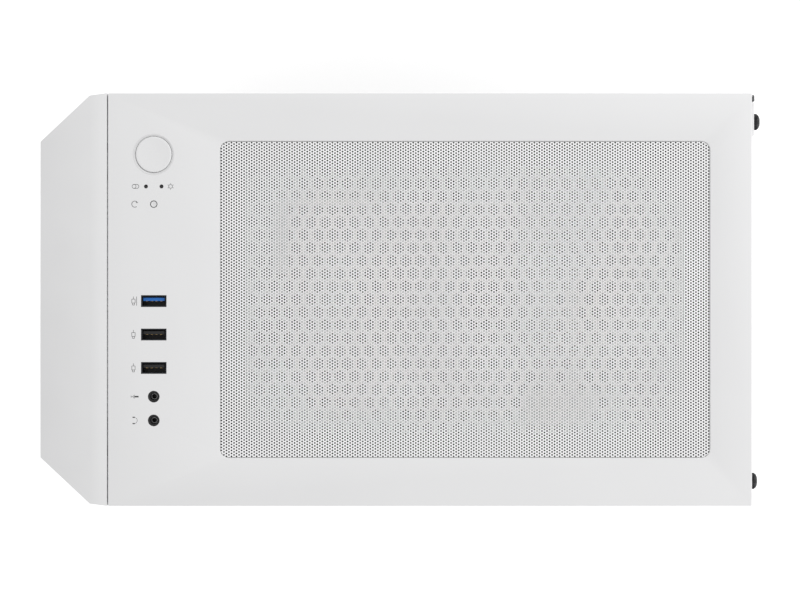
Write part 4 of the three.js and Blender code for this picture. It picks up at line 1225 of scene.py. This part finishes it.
cooler_low, cooler_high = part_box("cpu_heatsink")
tower_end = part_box("cpu_fan_frame")[1].x
FIN_BLACK = powder_coat("fin_black", (0.02, 0.02, 0.022))
FINS = 50
fin_pitch = (tower_end - cooler_low.x - 0.6 * MM) / (FINS - 1)
fins = bmesh.new()
for i in range(FINS):
    x = cooler_low.x + i * fin_pitch
    y_range, z_range = (cooler_low.y, cooler_high.y), (cooler_low.z, cooler_high.z)
    added(fins, boxed((x, x + 0.6 * MM), y_range, z_range))
piece("cooler_fins", fins, FIN_BLACK, "chassis", ["cpu_heatsink"])
for i in range(6):
    y = cooler_at.y + (i % 2 * 2 - 1) * 6 * MM
    z = cooler_at.z + (i // 2 - 1) * 13 * MM
    pipe = softened(along_x(3 * MM, y, z, cooler_low.x, cooler_high.x - 3 * MM, 20), 0.8 * MM, 2)
    piece(f"heat_pipe_{i + 1}", shaded(pipe), STEEL)
base = softened(
    boxed(
        (cooler_high.x - 12 * MM, cooler_high.x),
        around(cooler_at.y, 20 * MM),
        around(cooler_at.z, 20 * MM),
    ),
    0.8 * MM,
    2,
)
piece("cooler_base", shaded(base), STEEL)


# ---- Memory modules ----
# Two thin circuit boards, each in a spreader of dark alloy with a notched outer edge. They stand in
# two of the four slots.

for i in (1, 2):
    low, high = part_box(f"memory_module_{i}")
    spreader = softened(block(low, (high.x - 4 * MM, high.y, high.z)), 0.5 * MM, 2)
    notches = gathered(
        *[
            boxed(
                (low.x - MM, low.x + 3.5 * MM),
                (low.y - MM, high.y + MM),
                around(low.z + (8 + j * 9.75) * MM, 2 * MM),
            )
            for j in range(13)
        ]
    )
    name = f"memory_module_{i}"
    spreader = shaded(without(spreader, notches))
    piece(f"{name}_spreader", spreader, DARK_ALLOY, "chassis", [name])
    y = (low.y + high.y) / 2
    strip = boxed((high.x - 6 * MM, high.x), around(y, 0.6 * MM), (low.z + 0.5 * MM, high.z - 0.5 * MM))
    piece(f"{name}_board", strip, BOARD_INK)


# ---- Graphics card ----
# A black shroud with two fans below and metal ribs along its side, a metal backplate with vents above
# and a punched steel bracket with four sockets.

card_low, card_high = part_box("graphics_card_shroud")
shroud = softened(copied("graphics_card_shroud"), 1.6 * MM, 3, lambda e: e.calc_length() > 30 * MM)
shroud = shaded(shroud)
piece("card_shroud", shroud, BLACK_MOULDING, "chassis", ["graphics_card_shroud"])
for i in range(9):
    y = card_low.y + (24 + i * 23) * MM
    rib = boxed(
        (card_low.x - 0.5 * MM, card_low.x + MM),
        around(y, 8 * MM),
        around(card_low.z + 22 * MM, 0.9 * MM),
    )
    piece(f"card_rib_{i + 1}", shaded(softened(rib, 0.2 * MM, 1)), DARK_ALLOY)
plate_low, plate_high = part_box("graphics_card_board")
backplate = softened(block(plate_low, plate_high), 0.5 * MM, 2)
vents = gathered(
    *[
        boxed(
            around((9 * i - 22) * MM, 2 * MM),
            (-50 * MM, -10 * MM),
            (plate_low.z - MM, plate_high.z + MM),
        )
        for i in range(6)
    ]
)
piece(
    "card_backplate",
    shaded(without(backplate, vents)),
    DARK_ALLOY,
    "chassis",
    ["graphics_card_board"],
)
card_bracket = copied("graphics_card_bracket")
holes = gathered(
    *[
        boxed(
            around(bracket_low.x + (18 + j * 7) * MM, 2.4 * MM),
            (bracket_low.y - MM, bracket_low.y + 2 * MM),
            around(slot_heights[1] + dz, 1.2 * MM),
        )
        for j in range(13)
        for dz in (-3 * MM, 3 * MM)
    ]
)
bracket_shape = shaded(without(card_bracket, holes))
piece("card_bracket", bracket_shape, STEEL, "chassis", ["graphics_card_bracket"])
for i in range(4):
    x = bracket_low.x + (27 + i * 24) * MM
    rim = (bracket_low.y + 0.5 * MM, bracket_low.y + 2.8 * MM)
    socket = boxed(around(x, 8 * MM), rim, around(slot_heights[2], 2.8 * MM))
    mouth = boxed(around(x, 7.4 * MM), (rim[0] + 0.5 * MM, rim[1] + MM), around(slot_heights[2], 2.2 * MM))
    piece(f"card_socket_rim_{i + 1}", shaded(without(socket, mouth)), DARK_ALLOY)
for i in (1, 2):
    node = f"graphics_fan_rotor_{i}"
    low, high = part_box(node)
    wheel = impeller(41.5 * MM, 15 * MM, low.z + 0.2 * MM, low.z + 10.5 * MM, 11)
    x, y = (card_low.x + card_high.x) / 2, card_low.y + (96 * i - 38) * MM
    moved(wheel, (x, y, 0))
    piece(f"{node}_wheel", shaded(wheel, 40), FAN_BLACK, f"graphics_rotor_{i}", [node])


# ---- Power supply ----
# A case of folded steel, powder coated black. It has a honeycomb rear, a wire guard over the intake
# below and its own fan.

CASE_BLACK = powder_coat("case_black", (0.022, 0.022, 0.024))
supply_shape = softened(copied("supply_case"), 0.6 * MM, 2, lambda e: e.calc_length() > 80 * MM)
rear_vents = honeycomb(
    (-66 * MM, -4 * MM), (32 * MM, 103 * MM), (supply_high.y - 2.5 * MM, supply_high.y + MM)
)
supply_shape = shaded(without(supply_shape, rear_vents))
piece("supply_casing", supply_shape, CASE_BLACK, "chassis", ["supply_case"])
well = middle("supply_case")
WELL_Y = supply_low.y + 65.8 * MM
for i in range(5):
    radius = (12 + 11 * i) * MM
    ring = turned(
        [
            (radius + 0.8 * MM * math.cos(math.radians(45 * j)), 0.8 * MM * math.sin(math.radians(45 * j)))
            for j in range(9)
        ],
        (0, 0),
        56,
    )
    moved(ring, (well.x, WELL_Y, supply_low.z - 1.0 * MM))
    piece(f"guard_ring_{i + 1}", shaded(ring), BLACK_OXIDE)
low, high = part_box("supply_fan_rotor")
wheel = impeller(56 * MM, 20 * MM, low.z + 0.3 * MM, low.z + 18 * MM, 9)
moved(wheel, (well.x, WELL_Y, 0))
piece("supply_wheel", shaded(wheel, 40), FAN_BLACK, "supply_rotor", ["supply_fan_rotor"])


# ---- Drives ----
# A cast alloy hard drive in the cage, and a slim solid state drive in a dark alloy case on the
# shroud. Each has a blank label.

LABEL = moulded("blank_label", (0.62, 0.63, 0.64), 0.5, 0.2 * MM, 0.005 * MM)
for node, name, slot, finish in (
    ("hard_drive", "hard_drive_casting", "aluminium", ALLOY),
    ("solid_state_drive", "solid_state_case", "black_metal", DARK_ALLOY),
):
    low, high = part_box(node)
    casting = softened(block(low, high), 1.2 * MM, 3)
    piece(name, shaded(casting), finish, "chassis", [node])
    label = softened(
        boxed(
            (low.x + 0.16 * (high.x - low.x), high.x - 0.16 * (high.x - low.x)),
            (low.y + 0.2 * (high.y - low.y), high.y - 0.2 * (high.y - low.y)),
            (high.z, high.z + 0.12 * MM),
        ),
        0.04 * MM,
        1,
    )
    piece(f"{node}_label", shaded(label), LABEL)


# ---- Chassis sheets ----
# The tray with its rubber grommets, the drive cage, the front wall and the floor pan are folded from
# white coated steel, and the supply's slotted shroud from black.

GROMMET = rubbery("grommet_rubber", (0.018, 0.018, 0.02))
for node, name, minimum in (
    ("motherboard_tray", "tray_sheet", 60),
    ("drive_cage", "cage_sheet", 60),
    ("front_chassis", "front_wall", 100),
    ("bottom_pan", "floor_pan", 60),
):
    sheet = softened(copied(node), 0.22 * MM, 1, lambda e, least=minimum: e.calc_length() > least * MM)
    piece(name, shaded(sheet), WHITE_COAT, "chassis", [node])
shroud_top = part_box("supply_shroud")[1].z
slits = gathered(
    *[
        boxed(around((-72 + 6 * i) * MM, 1.6 * MM), (68 * MM, 150 * MM), around(shroud_top, 3 * MM))
        for i in range(14)
    ]
)
shroud_sheet = shaded(without(copied("supply_shroud"), slits))
piece("shroud_sheet", shroud_sheet, CASE_BLACK, "chassis", ["supply_shroud"])
tray_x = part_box("motherboard_tray")[1].x
tray_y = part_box("motherboard_tray")[0].y
for i, z in enumerate((170, 235, 300)):
    ring = softened(
        boxed(
            (tray_x - 2.2 * MM, tray_x + 0.8 * MM),
            (tray_y + 1 * MM, tray_y + 29 * MM),
            ((z - 2) * MM, (z + 54) * MM),
        ),
        1 * MM,
        2,
    )
    mouth = boxed(
        (tray_x - 5 * MM, tray_x + 4 * MM),
        (tray_y + 5 * MM, tray_y + 25 * MM),
        ((z + 2) * MM, (z + 50) * MM),
    )
    piece(f"tray_grommet_{i + 1}", shaded(without(ring, mouth)), GROMMET)


# ---- Cable, front board and bracket ----
# A main power cable in a braided sleeve, and the circuit board and black moulded bracket that hold
# the sockets below the deck.


def braided(name, colour):
    finish = Finish(name, colour, 0.75)
    inputs = {"Vector": finish.place, "Scale": 1 / (1.4 * MM), "Distortion": 1.5}
    weave = finish.node("ShaderNodeTexWave", {"bands_direction": "DIAGONAL"}, inputs, output=1)
    lighter = tuple(2.4 * part for part in colour)
    finish.fill(finish.shader, {"Base Color": finish.mixed(weave, colour, lighter)})
    finish.bumped(weave, 0.25 * MM)
    return finish.material


dressed("main_power_cable", braided("cable_braid", (0.014, 0.014, 0.015)))
dressed("io_board", BOARD_INK)
dressed("io_bracket", BLACK_MOULDING)


# ---- Feet and floor filter ----
# Four long feet moulded in black rubber, and a sliding filter: a black plastic frame around a fine
# punched mesh.

FOOT_RUBBER = rubbery("foot_rubber", (0.02, 0.02, 0.021))
for end in ("front", "rear"):
    for side in ("left", "right"):
        node = f"foot_{end}_{side}"
        foot = softened(copied(node), 0.6 * MM, 2, lambda e: e.calc_length() > 12 * MM)
        piece(f"{node}_pad", shaded(foot), FOOT_RUBBER, "chassis", [node])
filter_low, filter_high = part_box("bottom_filter")
BORDER = 7 * MM
WINDOW = (filter_low.x + BORDER, filter_high.x - BORDER)
WINDOW_REAR = 165 * MM
window = boxed(WINDOW, (filter_low.y + BORDER, WINDOW_REAR), (filter_low.z - MM, filter_high.z + MM))
tray_frame = shaded(without(copied("bottom_filter"), window))
piece("floor_filter_frame", tray_frame, BLACK_MOULDING, "supply_filter", ["bottom_filter"])
half_x, half_y = (WINDOW[1] - WINDOW[0]) / 2 + MM, (WINDOW_REAR - filter_low.y - BORDER) / 2 + MM
weave = perforated((2 * half_x, 2 * half_y), 2.4 * MM, 2.078 * MM, 1.8 * MM)
trimmed_box(weave, half_x, half_y)
moved(weave, (0, (filter_low.y + BORDER + WINDOW_REAR) / 2, filter_high.z - 0.8 * MM))
piece("floor_filter_mesh", weave, SOCKET_BLACK, "supply_filter")
